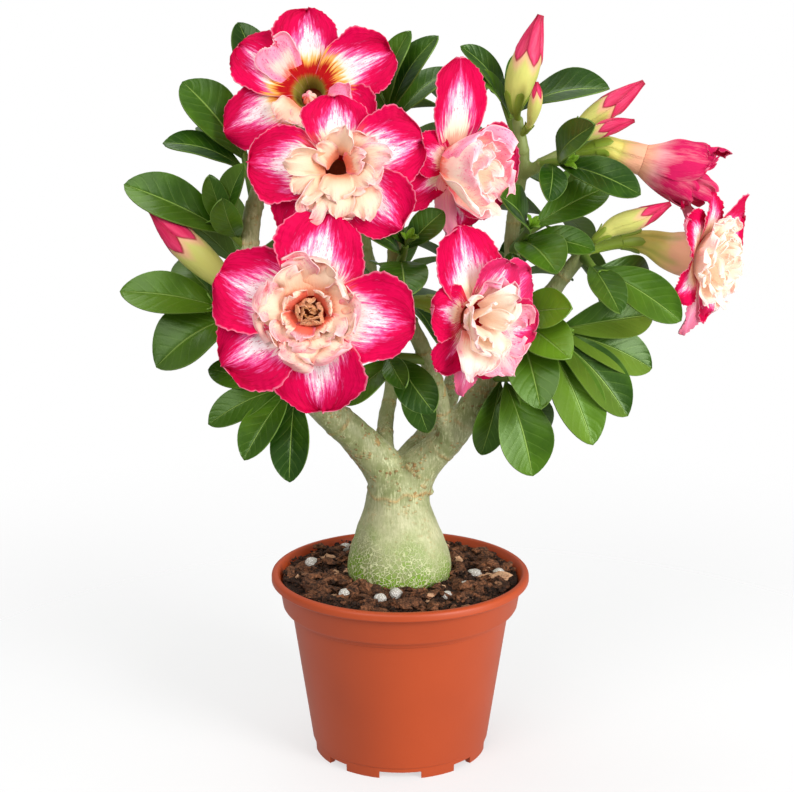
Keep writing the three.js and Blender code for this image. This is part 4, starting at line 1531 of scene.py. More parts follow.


# light and half below paint highlights: lighter shoots, and one half of each blade lighter.
NEAR_SHOOTS = (
    Shoot("shoot-left-high", ((-62, -25, 260), (-67, -20, 280)),
          ((-99, -34, 284), (-92, -22, 309, 0.56), (-88, 4, 290))),
    Shoot("shoot-left-tip", ((-64, -26, 238), (-74, -30, 248)),
          ((-74, -42, 262, 0.6), (-116, -34, 267), (-80, -36, 271), (-64, -42, 276)), half=-0.35),
    Shoot("shoot-left-mid", ((-60, -24, 208), (-76, -30, 214)),
          ((-104, -40, 190, 0.68), (-96, -10, 196), (-119, -36, 222), (-98, -4, 232)), half=-0.3),
    Shoot("shoot-left-low", ((-40, -14, 174), (-52, -30, 180)),
          ((-48, -42, 140), (-67, -46, 151), (-83, -36, 164), (-84, -24, 186))),
    Shoot("shoot-left-crown", ((-55, -20, 277), (-58, 0, 300)),
          ((-64, 28, 314), (-70, -2, 334), (-34, 16, 330))),
    Shoot("shoot-mid-low", ((12, -23, 190), (-6, -38, 195)),
          ((12, -34, 160), (-24, -46, 175), (14, -52, 173, 0.56), (2, -55, 184, 0.5))),
    Shoot("shoot-mid", ((-2, -31, 228), (2, -42, 242)),
          ((2, -66, 224, 0.66), (-16, -58, 250), (18, -38, 256, 0.6), (-12, -48, 264))),
    Shoot("shoot-top", ((2, -13, 280), (-6, -4, 298)),
          ((-18, 10, 318), (24, 8, 314), (16, -12, 328), (4, -14, 330))),
    Shoot("shoot-right-low", ((41, -10, 180), (48, -24, 182)),
          ((36, -22, 147), (58, -32, 140, 0.56), (46, -8, 150), (66, -16, 156)), light=0.2, half=0.3),
    Shoot("shoot-right-front", ((49, -3, 206), (52, -18, 207)),
          ((60, -42, 172, 0.5), (72, -42, 194, 0.56), (73, -38, 215, 0.6), (48, -14, 236)), light=0.25),
    Shoot("shoot-right-side", ((56, -7, 204), (68, -15, 202)),
          ((84, -32, 154), (100, -24, 165), (96, 14, 172), (112, -12, 184), (113, -4, 207)),
           light=0.2, half=0.9),
    Shoot("shoot-right-mid", ((80, -12, 234), (84, -20, 230)),
          ((92, -46, 214), (120, -34, 209), (112, 2, 222)), half=0.25),
    Shoot("shoot-right-in", ((50, 3, 234), (56, -12, 246)),
          ((66, -38, 230, 0.6), (84, -22, 238), (42, -36, 262, 0.6), (92, -4, 264))),
    Shoot("shoot-right-up", ((62, -5, 274), (69, -13, 275)),
          ((62, -36, 260), (102, -26, 262), (80, -42, 292), (90, 18, 280))),
    Shoot("shoot-right-crown", ((52, 2, 284), (46, 12, 300)),
          ((30, -4, 313), (90, -8, 306, 0.5), (26, 0, 324), (62, 26, 322))),
)
FAR_SHOOTS = (
    Shoot("shoot-back-left-side", ((-64, -25, 222), (-70, -4, 228), (-76, 14, 232)), leaves=5, turn=40),
    Shoot("shoot-back-left-in", ((-7, 46, 192), (-6, 36, 206), (0, 26, 218)), leaves=6, turn=0),
    Shoot("shoot-back-left-high", ((-17, 48, 264), (-26, 50, 282), (-32, 50, 292)), leaves=5, turn=70),
    Shoot("shoot-back-right-high", ((34, 52, 252), (32, 54, 268), (26, 52, 288)), leaves=5, turn=20),
    Shoot("shoot-back-right-in", ((30, 48, 196), (42, 40, 208), (52, 32, 220)), leaves=6, turn=110),
    Shoot("shoot-back-right-side", ((51, 4, 240), (66, 22, 246), (76, 32, 250)), leaves=5, turn=225),
)


@dataclass(frozen=True)
class Foliage(Assembly):
    """The leafy shoots: folded, arched leaves round a green stem, and a tuft of young ones."""

    width_to_length: float = 0.43
    widest: float = 0.62
    taper: float = 0.674
    fold: float = 0.42
    arch: float = 0.1
    sunk: float = 0.03
    leaves_from: float = 0.36
    leaves_to: float = 0.98
    up: float = 0.7
    forward: float = 0.5
    near_out: float = -1.0
    far_out: float = 0.4
    twig: tuple[float, float] = (2.6, 1.5)
    golden_angle: float = 137.5
    longest: float = 50.0
    shortest: float = 28.0
    lowest: float = 100.0
    highest: float = 30.0
    tuft: int = 4
    tuft_width: float = 0.36
    thickness: float = 0.6
    seed: int = 500

    def leaf(self, grid: Pattern, root: Places, tip: Spot, facing: Places, draws: SeededDraws) -> Places:
        """Shape one leaf.

        Args:
            grid: The flat grid that is shaped.
            root: Where the leaf starts.
            tip: Where it ends, with its width as a share of its length where it is a broad one.
            facing: The way that its upper face looks.
            draws: Random numbers for what no two leaves share.

        Returns:
            The leaf's places.
        """
        end = np.array(tip[:3], float)
        ratio = tip[3] if len(tip) > 3 else self.width_to_length
        base = root + (end - root) * self.sunk
        length = float(np.linalg.norm(end - base))
        along = (end - base) / length
        up = unit(facing - along * facing.dot(along))
        side = np.cross(up, along)
        row, v = grid.across()
        u = 1.0 - (1.0 - row) ** 1.35
        half = ratio * length / 2
        width = half * (u / self.widest) ** 1.1 * ((1.0 - u) / (1.0 - self.widest)) ** self.taper * v
        fold = self.fold * draws.between(0.6, 1.1) * (np.sqrt(width**2 + 0.6) - 0.6)
        arch = self.arch * draws.between(0.85, 1.15) * length * np.sin(math.pi * u)
        wave = draws.between(0.2, 0.7) * np.abs(v) ** 2 * np.sin(u * draws.between(7, 11) + draws() * 6 + v)
        bend = draws.between(-0.02, 0.02) * length * np.sin(math.pi * u)
        height = fold + arch + wave * smooth(u, 0.15, 0.4)
        return base + np.outer(u * length, along) + np.outer(width + bend, side) + np.outer(height, up)

    def _spiral(self, shoot: Shoot, curve: StemCurve) -> list[Places]:
        """Place leaf tips in a golden-angle spiral: long and spread below, short and steep above."""
        direction, tips = curve.heading(1.0), []
        for i in range(shoot.leaves):
            share = i / (shoot.leaves - 1)
            angle = math.radians(shoot.turn + i * self.golden_angle)
            spread = math.radians(self.lowest + (self.highest - self.lowest) * share)
            length = self.longest + (self.shortest - self.longest) * share
            away = square_to(direction, (0.0, 0.0, 1.0), angle)
            way = direction * math.cos(spread) + away * math.sin(spread)
            tips.append(self._root(curve, i, shoot.leaves) + way * length)
        return tips

    def _root(self, curve: StemCurve, number: int, count: int) -> Places:
        """Give the place on a stem where a leaf starts."""
        return curve.at(self.leaves_from + (self.leaves_to - self.leaves_from) * (number + 1) / count)

    def _tuft(self, grid: Pattern, curve: StemCurve, bundle: Bundle, draws: SeededDraws) -> None:
        """Add the young leaves at a stem's tip."""
        direction = curve.heading(1.0)
        for i in range(self.tuft):
            away = square_to(direction, (0.3, 0.2, 1.0), i * math.radians(self.golden_angle) + draws())
            tip = curve.at(1.0) + (direction * 0.9 + away * 0.45) * draws.between(7, 11)
            facing = direction * 0.2 - away
            places = self.leaf(grid, curve.at(0.95), (*tip, self.tuft_width), facing, draws)
            bundle.add(grid, places, tone=1.5)

    def build(self) -> None:
        """Model every shoot."""
        grid, small, ball = Pattern.grid(18, 10), Pattern.grid(8, 4), Pattern.ball(12, 12)
        for number, shoot in enumerate(NEAR_SHOOTS + FAR_SHOOTS):
            near = not shoot.leaves
            draws = SeededDraws(self.seed + number)
            curve = StemCurve(shoot.stem)
            out = self.near_out if near else self.far_out
            facing = curve.heading(1.0) * self.forward + np.array([0.0, out, self.up])
            tips = shoot.tips if near else self._spiral(shoot, curve)
            bundle = Bundle()
            for i, tip in enumerate(tips):
                root = self._root(curve, i, len(tips))
                # shoot.light adds a painted highlight to the tone, and half paints one half of the blade
                # lighter.
                bundle.add(grid, self.leaf(grid, root, tip, facing, draws), tone=draws() + shoot.light,
                           half=shoot.half * (0.45 + 0.11 * i))
            self._tuft(small, curve, bundle, draws)
            blades = bundle.make("leaves")
            thicken(blades, self.thickness)
            stem = Bundle()
            stem.add(ball, Limb(shoot.stem, self.twig).cover(ball), tone=0.5, stem=1.0)
            piece = join([blades, stem.make("stem")], f"{shoot.name}-leaves")
            hand_over(piece, self.finishes.leaf, "leaf", shoot.name)


# Blooms and buds


@dataclass(frozen=True)
class Blade:
    """An outer petal: its turn round the axis, its length, and what it doesn't share with the others."""

    angle: float
    length: float
    width: Optional[float] = None
    rise: Optional[float] = None
    sway: float = 0.0
    pale: float = 0.0
    white: float = 1.0
    reflex: Optional[float] = None


@dataclass(frozen=True)
class Whorl:
    """A ring of inner petals round a bloom's throat, or a single one."""

    count: int
    foot: float
    length: float
    width: float
    rise: float
    curl: float
    start: float = 0.0
    blush: float = 0.3
    gold: float = 0.0
    rust: float = 0.0
    fold: float = 0.0
    frill: float = 1.0
    wrap: float = 0.55


@dataclass(frozen=True)
class Bloom:
    """A bloom: where it is and looks, its outer petals and inner whorls, its tube, its tints and its painted
    glow.
    """

    name: str
    centre: Spot
    facing: Spot
    petals: Sequence[Blade]
    width: float
    rise: float
    reflex: float
    neck: Sequence[Spot]
    whorls: Sequence[Whorl] = ()
    blush: float = 0.3
    base: float = 8.0
    tube: Sequence[float] = (8.4, 6.9, 5.4, 4.5, 3.9, 3.5, 2.7, 2.2, 1.5)
    anthers: bool = False
    sunk: float = 0.0
    warm: float = 0.9
    star: float = 0.15
    # lit: how strongly the inner petals glow with their own colour, a painted glow that lifts their shade
    lit: float = 0.33

    def axes(self) -> Places:
        """Give the bloom's right, top and facing directions, one a row."""
        axis = unit(np.array(self.facing, float))
        right = unit(np.cross((0.0, 0.0, 1.0), axis))
        return np.vstack([right, np.cross(axis, right), axis])


BLOOMS = (
    Bloom("bloom-1", (-38, -34, 305), (-0.08, -0.95, 0.28),
          (Blade(92, 28, 27), Blade(27, 31, 29), Blade(-40, 22), Blade(205, 31, 27), Blade(147, 29, 27)),
           33, 8, 0.16,
          ((-41, -13, 296), (-47, -14, 290), (-54, -19, 282)),
          (Whorl(1, 7.2, 11, 15, 50, 0.8, 228, 0.5, fold=0.3),
           Whorl(1, 7.2, 9, 15, 46, 0.9, 268, 0.35, fold=0.2),
           Whorl(1, 7.4, 12, 15, 38, 0.6, 338, 1.3, fold=0.3),
           Whorl(1, 9.4, 15, 19, 30, 0.3, 134, 0.8, frill=0.7, wrap=0.3)),
          anthers=True, star=1.0),
    Bloom("bloom-2", (-25, -64, 276), (0.05, -0.95, 0.2),
          (Blade(92, 21, 27), Blade(18, 28), Blade(-44, 27, 29), Blade(235, 26), Blade(176, 28)), 32, 6, 0.16,
          ((-27, -42, 271), (-38, -32, 268), (-56, -25, 268)),
          (Whorl(1, 5.0, 14, 15, 66, 0.9, 82, 0.3, fold=0.8),
           Whorl(1, 5.0, 18, 13, 62, 1.2, 168, 0.25, fold=0.9),
           Whorl(1, 5.5, 18, 15, 60, 1.0, 214, 0.2, fold=0.5),
           Whorl(1, 6.0, 21, 13, 45, 0.8, 236, 0.5, frill=1.3),
           Whorl(1, 5.0, 19, 15, 54, 0.9, 262, 0.3), Whorl(1, 6.0, 19, 20, 42, 0.7, 294, 0.4, frill=1.2),
           Whorl(1, 5.0, 18, 17, 50, 0.8, 358, 0.7, fold=0.4), Whorl(1, 3.2, 15, 13, 66, 0.9, 270, 0.3),
           Whorl(1, 4.4, 15, 14, 60, 0.7, 326, 0.6), Whorl(1, 6.0, 12, 12, 50, 0.7, 42, 0.5),
           Whorl(1, 2.8, 12, 11, 70, 0.9, 140, 0.3, rust=0.2, fold=0.5),
           Whorl(1, 3.2, 12, 11, 70, 0.7, 14, 0.4, rust=0.3)),
          warm=1.15, lit=0.05),
    Bloom("bloom-3", (-36, -80, 220), (-0.04, -0.98, 0.12),
          (Blade(78, 32), Blade(157, 32), Blade(211, 33), Blade(277, 32, 38), Blade(354, 34)), 36, 4, 0.12,
          ((-37, -52, 217), (-46, -36, 212), (-57, -25, 209)),
          (Whorl(4, 7.0, 13.5, 30, 24, 0.25, 48, 0.45, frill=1.4),
           Whorl(4, 6.6, 12.5, 24, 32, 0.4, 8, 0.4, frill=1.4),
           Whorl(1, 5.8, 12, 22, 44, 0.5, 238, 0.5, rust=0.3),
           Whorl(1, 5.8, 11, 18, 48, 0.5, 310, 0.4, rust=0.2),
           Whorl(4, 5.4, 8, 13, 64, 0.3, 40, 0.15, rust=0.5),
           Whorl(1, 4.8, 9, 10, 62, 0.7, 256, 0.6, rust=0.6),
           Whorl(4, 4.6, 6.5, 8.5, 66, -1.0, 10, 0.3, 0.8, fold=0.3),
           Whorl(3, 2.9, 6.5, 7.5, 72, -0.8, 50, 0.3, 0.9, fold=0.4),
           Whorl(2, 1.5, 6, 6, 78, -0.4, 80, 0.3, 1.0)), warm=1.1, lit=0.05),
    Bloom("bloom-4", (23, -30, 275), (0.64, -0.76, -0.12),
          (Blade(97, 37, 32, 8, reflex=0.05), Blade(160, 19, 20, 20, white=0.6),
           Blade(207, 25, 16, 4, white=0.2),
           Blade(290, 22, 27, 4), Blade(350, 23, 26, 48, pale=0.4), Blade(308, 22, 24, 44, pale=0.3),
           Blade(24, 23, 26, 50, pale=0.4), Blade(244, 21, 13, 12, 15, pale=1.0)), 28, 4, 0.2,
          ((10, -14, 279), (7, -14, 277), (4, -16, 275)),
          (Whorl(1, 8.4, 26, 38, 68, -0.55, 196, 0.5, frill=0.4, wrap=0.9),
           Whorl(1, 8.0, 24, 34, 60, -0.25, 98, 1.3, frill=0.7, wrap=0.8),
           Whorl(1, 7.0, 22, 26, 58, 0.1, 20, 0.9),
           Whorl(1, 7.2, 22, 26, 60, 0.1, 300, 0.7), Whorl(1, 6.8, 24, 28, 68, -0.15, 250, 0.4, frill=0.6),
           Whorl(1, 5.6, 25, 26, 76, -0.3, 150, 0.4, frill=0.5, wrap=0.8),
           Whorl(1, 5.0, 24, 22, 78, -0.1, 225, 0.3, frill=0.5, wrap=0.8),
           Whorl(3, 4.4, 21, 17, 78, 0.1, 340, 0.6),
           Whorl(2, 2.4, 20, 12, 84, 0.1, 60, 0.4)), 0.4, warm=0.3, star=0.0, lit=0.85),
    Bloom("bloom-5", (31, -50, 213), (0.56, -0.82, -0.05),
          (Blade(102, 31, 35, 6), Blade(163, 19, 24, 22, white=0.7), Blade(225, 21, 17, 14, white=0.2),
           Blade(288, 20, 22, 20), Blade(64, 22, 24, 32, pale=0.45), Blade(34, 25, 28, 20, pale=0.45),
           Blade(346, 22, 24, 40, pale=0.3), Blade(262, 26, 12, 0, 3, pale=0.7)), 29, 6, 0.2,
          ((15, -33, 216), (7, -31, 217), (0, -31, 217)),
          (Whorl(1, 6.4, 18, 19, 56, 0.2, 60, 0.9, fold=0.4, frill=1.3),
           Whorl(1, 5.6, 20, 21, 68, -0.1, 196, 0.6, frill=0.6, wrap=0.8),
           Whorl(1, 6.6, 20, 21, 48, 0.5, 338, 1.0),
           Whorl(1, 6.6, 21, 21, 46, 0.5, 300, 0.8), Whorl(1, 6.4, 20, 19, 54, 0.5, 258, 0.4),
           Whorl(3, 4.8, 18, 16, 66, 0.3, 280, 0.15), Whorl(3, 2.8, 15, 10, 80, 0.2, 10, 0.1)), 0.4,
          warm=0.25, star=0.1, lit=0.25),
    Bloom("bloom-6", (136, -14, 233), (0.82, -0.56, -0.12),
          (Blade(90, 20, 26), Blade(140, 20, 22), Blade(214, 17, 18), Blade(308, 26, 30),
           Blade(28, 29, 34, 24),
           Blade(262, 26, 14, 8, 6, pale=0.8)), 23, 16, 0.30,
          ((110, -2, 239), (97, -7, 240), (82, -10, 236)),
          (Whorl(6, 8.0, 16, 19, 48, 0.35, 10, 0.25), Whorl(5, 6.4, 15, 17, 60, 0.3, 40, 0.15, frill=0.8),
           Whorl(4, 4.2, 15, 13, 74, 0.2, 20, 0.05, frill=0.8),
           Whorl(3, 1.8, 14, 9, 84, 0.1, 10, 0.0, frill=0.8)), 0.15,
          base=10.0, tube=(10.3, 9.9, 8.6, 7.0, 5.5, 4.6, 3.2, 2.5, 1.6), sunk=4.0, warm=0.35,
          star=0.1, lit=0.5),
    Bloom("bloom-7", (114, -12, 273), (0.93, -0.1, -0.3), (), 17, 72, 0.16,
          ((88, -12, 281.7), (76, -10.5, 279)), (), 1.0,
          base=6.6, tube=(6.9, 6.5, 6.0, 5.4, 4.9, 4.5, 3.8, 2.8, 1.8), sunk=9.0),
)


@dataclass(frozen=True)
class Corolla:
    """How blooms are shaped: petals out of a funnel, crinkled inner petals and a ribbed tube."""

    throat_depth: float = 10.2
    throat_turn: float = 44.0
    narrowing: float = 3.4
    overlap: float = 0.16
    cup: float = 0.008
    wave: float = 1.3
    waves: float = 7.0
    bends: int = 39
    thickness: float = 0.3
    tube_from: float = 0.2
    straight: float = 0.6

    def petal(self, grid: Pattern, bloom: Bloom, blade: Blade, draws: SeededDraws) -> Places:
        """Shape one outer petal in the bloom's own frame.

        Args:
            grid: The flat grid that is shaped.
            bloom: The bloom.
            blade: The petal.
            draws: Random numbers.

        Returns:
            The petal's places, with +Z the way that the bloom faces.
        """
        row, v = grid.across()
        share = (1.0 + THROAT_SHARE) * (1.0 - (1.0 - row) ** 1.3) - THROAT_SHARE
        s = np.maximum(share, 0.0)
        rise = math.radians(bloom.rise if blade.rise is None else blade.rise)
        width, length = blade.width or bloom.width, blade.length
        skew = 1.0 + draws.between(0.04, 0.14) * v * smooth(s, 0.3, 0.8)
        half = width / 2 * outline(s, 0.64, 1.0, 0.52, 0.02) * skew
        p, q, r, t = (draws() * PHASE for _ in range(4))
        x, wide = length * s, half * v
        margin = np.maximum(np.abs(v) ** 3, smooth(s, 0.82, 1.0)) * smooth(s, 0.15, 0.4)
        bearing = np.arctan2(wide, x - length * 0.55)
        frill = 0.014 * np.sin(27 * bearing + p) + 0.012 * np.sin(43 * bearing + q)
        frill += 0.028 * np.sin(7 * bearing + r)
        x = x + (x - length * 0.55) * frill * margin
        wide = wide * (1 + frill * margin)
        wave = self.wave * s**2 * v**2 * np.sin(self.waves * s + blade.angle / 9)
        wave += 0.7 * smooth(np.abs(v), 0.55, 1.0) * s * np.sin(15 * s + p)
        wave += 0.35 * margin * np.sin(31 * bearing + t)
        wave += 0.9 * smooth(s, 0.6, 1.0) * np.sin(5.5 * v + q) + 0.5 * s * np.sin(3.4 * v + r)
        reflex = bloom.reflex if blade.reflex is None else blade.reflex
        height = length * (math.sin(rise) * s - reflex * s**2)
        height += self.overlap * wide * (0.3 + 0.7 * s) + self.cup * wide**2 + wave
        groove = 0.5 * np.exp(-((v / 0.10) ** 2)) * smooth(s, 0.05, 0.3) * smooth(-s, -0.9, -0.5)
        point = draws.between(-0.01, 0.03) * length * np.exp(-(((v - 0.12) / 0.14) ** 2))
        point = point * smooth(s, 0.88, 1.0)
        out = bloom.base + x * math.cos(rise) + point
        flat = np.column_stack([out, wide + blade.sway * s**2, height - groove])
        deep = np.clip(-share / THROAT_SHARE, 0.0, 1.0)
        radius = out - self.narrowing * deep**0.6
        fan = math.radians(self.throat_turn) * v
        sunk = height * smooth(share, 0.0, 0.3) - self.throat_depth * deep**1.2
        funnel = np.column_stack([radius * np.cos(fan), radius * np.sin(fan), sunk])
        blend = smooth(share, 0.0, 0.32)[:, None]
        return self._turned(funnel * (1 - blend) + flat * blend, blade.angle)

    @staticmethod
    def _turned(places: Places, degrees: float) -> Places:
        """Turn places round the bloom's axis."""
        c, s = math.cos(math.radians(degrees)), math.sin(math.radians(degrees))
        x, y = places[:, 0], places[:, 1]
        return np.column_stack([x * c - y * s, x * s + y * c, places[:, 2]])

    def inner(self, grid: Pattern, whorl: Whorl, angle: float, draws: SeededDraws) -> Places:
        """Shape one inner petal in the bloom's own frame.

        Args:
            grid: The flat grid that is shaped.
            whorl: The whorl that it is one of.
            angle: Its turn round the axis, in degrees.
            draws: Random numbers.

        Returns:
            Its places.
        """
        u, v = grid.across()
        length = whorl.length * draws.between(0.9, 1.1)
        width = whorl.width * draws.between(0.92, 1.12)
        rise = math.radians(whorl.rise + draws.between(-5, 5))
        curl = whorl.curl * draws.between(0.8, 1.25)
        steps = np.linspace(0.0, 1.0, self.bends + 1)
        slope = rise - curl * steps**1.6 * 1.4
        away, over = (
            np.concatenate([[0.0], np.cumsum(part(slope[:-1]))]) / self.bends for part in (np.cos, np.sin)
        )
        p, q, r, t, w = (draws() * PHASE for _ in range(5))
        edge = smooth(np.maximum(u**1.5, np.abs(v) * 0.92), 0.55, 1.0) * smooth(u, 0.1, 0.5)
        lobes = 0.09 * np.sin(2.6 * v + p) + 0.035 * np.sin(9 * v + q) + 0.016 * np.sin(21 * v + w)
        reach = u * (1.0 + lobes * whorl.frill * smooth(u, 0.4, 1.0))
        radial = whorl.foot + length * np.interp(reach, steps, away)
        height = -0.5 + length * np.interp(reach, steps, over)
        lean = np.interp(np.minimum(reach, 1.0), steps, slope)
        extra = np.maximum(reach - 1.0, 0.0) * length
        radial, height = radial + extra * np.cos(lean), height + extra * np.sin(lean)
        sides = 1.0 + whorl.frill * (0.05 * np.sin(11 * u + r) + 0.018 * np.sin(21 * u + t)) * edge
        wide = width / 2 * outline(u, 0.50, 0.9, 0.74, 0.40) * v * sides
        frill = whorl.frill * width
        normal = frill * 0.085 * np.sin(3.6 * v + p + 1.4 * u) * u**1.5
        normal += frill * edge * (0.048 * np.sin(9 * v + q + 3 * u) + 0.016 * np.sin(20 * v + w + 5 * u))
        normal += frill * smooth(np.abs(v), 0.5, 1.0) * 0.050 * np.sin(10 * u + r) * smooth(u, 0.1, 0.5)
        turned = smooth(v * (1 if math.sin(r) > 0 else -1), -0.1, 1.0) ** 1.5
        turned = turned * whorl.fold * smooth(u, 0.1, 0.6)
        normal += turned * width * 0.40 + 0.006 * wide**2
        wide = wide * (1 - 0.35 * turned)
        x = radial - np.sin(lean) * normal
        z = height + np.cos(lean) * normal
        fan = wide / np.maximum(radial, whorl.foot) * whorl.wrap
        y = x * np.sin(fan) + wide * (1.0 - whorl.wrap) + draws.between(-0.14, 0.14) * length * u**2
        return self._turned(np.column_stack([x * np.cos(fan), y, z]), angle)

    def line(self, bloom: Bloom) -> Limb:
        """Lay the line of a bloom's tube and stalk, from the throat back to the branch."""
        axis, centre = bloom.axes()[2], np.array(bloom.centre, float)
        start = centre - axis * (bloom.sunk + self.tube_from)
        away = float(np.linalg.norm(start - np.array(bloom.neck[0], float)))
        return Limb([start, start - axis * away * self.straight, *bloom.neck], bloom.tube)


def sepals(limb: Limb, base: float, tip: float, width: float) -> Piece:
    """Model five narrow sepals that lie close round a stem.

    Args:
        limb: The stem.
        base: The share of its length where they start.
        tip: The share where they end.
        width: Half their width as a turn, in radians.

    Returns:
        The sepals.
    """
    grid, bundle = Pattern.grid(8, 4), Bundle()
    u, v = grid.across()
    for i in range(SEPALS):
        angle = i * 2 * math.pi / SEPALS + v * width * outline(u, 0.8, 1.0, 0.3, 0.05)
        lift = 0.25 + 0.5 * smooth(u, 0.5, 1.0) - 0.2 * np.abs(v)
        bundle.add(grid, limb.skin(base + (tip - base) * u, angle, 1.0, lift), sepal=1.0, along=0.85)
    piece = bundle.make("sepals")
    thicken(piece, SEPAL_THICKNESS)
    return piece


@dataclass(frozen=True)
class Blossoms(Assembly):
    """Every bloom, with its petals, inner petals, tube and anthers."""

    form: Corolla = Corolla()
    mouth: float = 0.16
    inner_depth: float = 0.30
    inner_width: float = 0.93
    ribs: int = 5
    rib_height: float = 0.05
    sepals: tuple[float, float, float] = (0.72, 0.55, 0.5)
    anthers: int = 5
    anther_spread: float = 1.9
    anther_length: float = 3.4
    anther_shift: Spot = (0.0, 2.0, 0.0)
    loose: float = 7.0
    seed: int = 900
    opening: Sequence[Whorl] = (
        Whorl(5, 6.6, 27, 24, 64, -0.50, 10, 1.3, wrap=0.95, frill=0.5),
        Whorl(4, 5.8, 29, 20, 72, -0.10, 40, 1.4, wrap=0.9, frill=1.2),
        Whorl(3, 4.0, 30, 15, 80, 0.25, 10, 0.9, wrap=0.8, frill=1.5),
    )

    def _set_out(self, bloom: Bloom, places: Places) -> Places:
        """Carry places from a bloom's own frame to the plant."""
        axes = bloom.axes()
        return places @ axes + np.array(bloom.centre, float) - axes[2] * bloom.sunk

    def build(self) -> None:
        """Model every bloom."""
        wide, fine = Pattern.grid(38, 30), Pattern.grid(22, 40)
        for number, bloom in enumerate(BLOOMS):
            draws = SeededDraws(self.seed + number)
            bundle = Bundle()
            if bloom.whorls:
                for blade in bloom.petals:
                    places = self.form.petal(wide, bloom, blade, draws)
                    bundle.add(wide, self._set_out(bloom, places), tone=draws(), blush=bloom.blush,
                               pale=blade.pale, white=blade.white, star=bloom.star)
                self._inner_petals(bloom, fine, draws)
            else:
                self._whorls(bloom, self.opening, wide, draws, bundle)
            petals = bundle.make(f"{bloom.name}-outer-petals")
            thicken(petals, self.form.thickness)
            hand_over(petals, self.finishes.petal, "petal", f"{bloom.name}-petals")
            self._tube(bloom)

    def _whorls(self, bloom: Bloom, whorls: Sequence[Whorl], grid: Pattern, draws: SeededDraws,
                bundle: Bundle) -> None:
        """Shape every petal of some whorls.

        Args:
            bloom: The bloom.
            whorls: The whorls.
            grid: The flat grid that is shaped.
            draws: Random numbers.
            bundle: Where the petals are gathered.
        """
        for whorl in whorls:
            loose = self.loose if whorl.count > 1 else 0.0
            for i in range(whorl.count):
                angle = whorl.start + 360.0 * i / whorl.count + draws.between(-loose, loose)
                places = self.form.inner(grid, whorl, angle, draws)
                rosy = whorl.blush * draws.between(0.6, 1.4)
                # lit carries the bloom's painted glow to these petals.
                bundle.add(grid, self._set_out(bloom, places), tone=draws(), blush=rosy, gold=whorl.gold,
                           rust=whorl.rust, warm=bloom.warm, white=0.3, lit=bloom.lit)

    def _inner_petals(self, bloom: Bloom, grid: Pattern, draws: SeededDraws) -> None:
        """Model a bloom's inner petals, whorl by whorl, and its anthers where they show."""
        bundle = Bundle()
        self._whorls(bloom, bloom.whorls, grid, draws, bundle)
        piece = bundle.make(f"{bloom.name}-inner-petals")
        thicken(piece, self.form.thickness)
        if bloom.anthers:
            piece = join([piece, self._anthers(bloom)], piece.name)
        hand_over(piece, self.finishes.inner_petal, "inner_petal", f"{bloom.name}-ruffle")

    def _anthers(self, bloom: Bloom) -> Piece:
        """Model the five anthers that lean together in the throat."""
        ball = Pattern.ball(14, 12)
        bundle = Bundle()
        for i in range(self.anthers):
            angle = math.radians(360 / self.anthers * i + 20)
            way = np.array([math.cos(angle), math.sin(angle), 0.0])
            height = ball.points[:, 2]
            middle = np.outer(self.anther_spread * (1 - smooth(height, -0.2, 1.0) * 0.85), way)
            middle += np.outer(height * self.anther_length - 1.0, (0.0, 0.0, 1.0)) - self.anther_shift
            slim = (1.25 - 0.35 * height)[:, None]
            places = middle + ball.points * np.array([1.0, 1.0, 0.0]) * slim
            # lit=0.33 gives the anthers the same painted glow.
            bundle.add(ball, self._set_out(bloom, places), tone=0.2 * i, blush=0.8, warm=1.0, lit=0.33)
        return bundle.make("anthers")

    def _tube(self, bloom: Bloom) -> None:
        """Model a bloom's tube, open at its mouth, with its sepals and stalk."""
        limb, ball = self.form.line(bloom), Pattern.ball(40, 60)
        share, turn = ball.around()
        inner = share < self.mouth
        outside = (share - self.mouth) / (1.0 - self.mouth)
        inside = self.inner_depth * (1.0 - share / self.mouth)
        along = np.where(inner, inside, outside)
        ribs = self.rib_height * np.cos(self.ribs * turn)
        ribs = ribs * smooth(along, 0.04, 0.2) * smooth(-along, -0.7, -0.5)
        swell = np.where(inner, self.inner_width, 1.0 + ribs)
        places = limb.skin(along, turn, np.where(ball.poles(), 0.0, swell))
        bundle = Bundle()
        bundle.add(ball, places, along=np.where(inner, -0.05, along), turn=turn)
        piece = join([bundle.make("tube"), sepals(limb, *self.sepals)], f"{bloom.name}-tube")
        hand_over(piece, self.finishes.tube, "corolla_tube", f"{bloom.name}-neck")


@dataclass(frozen=True)
class Bud:
    """A bud: its size, the line from its stalk to its tip, and where along it the petals start."""

    name: str
    size: float
    line: Sequence[Spot]
    furled: float = 0.55


BUDS = (
    Bud("bud-1", 1.12, ((-62, -26, 222), (-72, -34, 224), (-80, -37, 232), (-93, -39, 245), (-104, -40, 257)),
        0.64),
    Bud("bud-2", 1.12, ((52, 0, 291), (50, -4, 298), (51, -4, 306), (55, -5, 320), (60, -6, 337)), 0.57),
    Bud("bud-3", 0.5, ((53, -1, 286), (56, -8, 291), (57, -12, 296), (58, -15, 303), (58, -16, 309)), 0.78),
    Bud("bud-4", 0.86, ((73, -9, 280), (76, -10, 288), (82, -10, 293), (93, -12, 301), (104, -13, 309))),
    Bud("bud-5", 0.56, ((73, -10, 279), (77, -17, 285), (83, -19, 288), (91, -21, 291), (99, -23, 293))),
    Bud("bud-6", 0.8, ((81, -14, 238), (87, -18, 244), (93, -18, 248), (104, -20, 252), (116, -21, 258)),
        0.68),
)


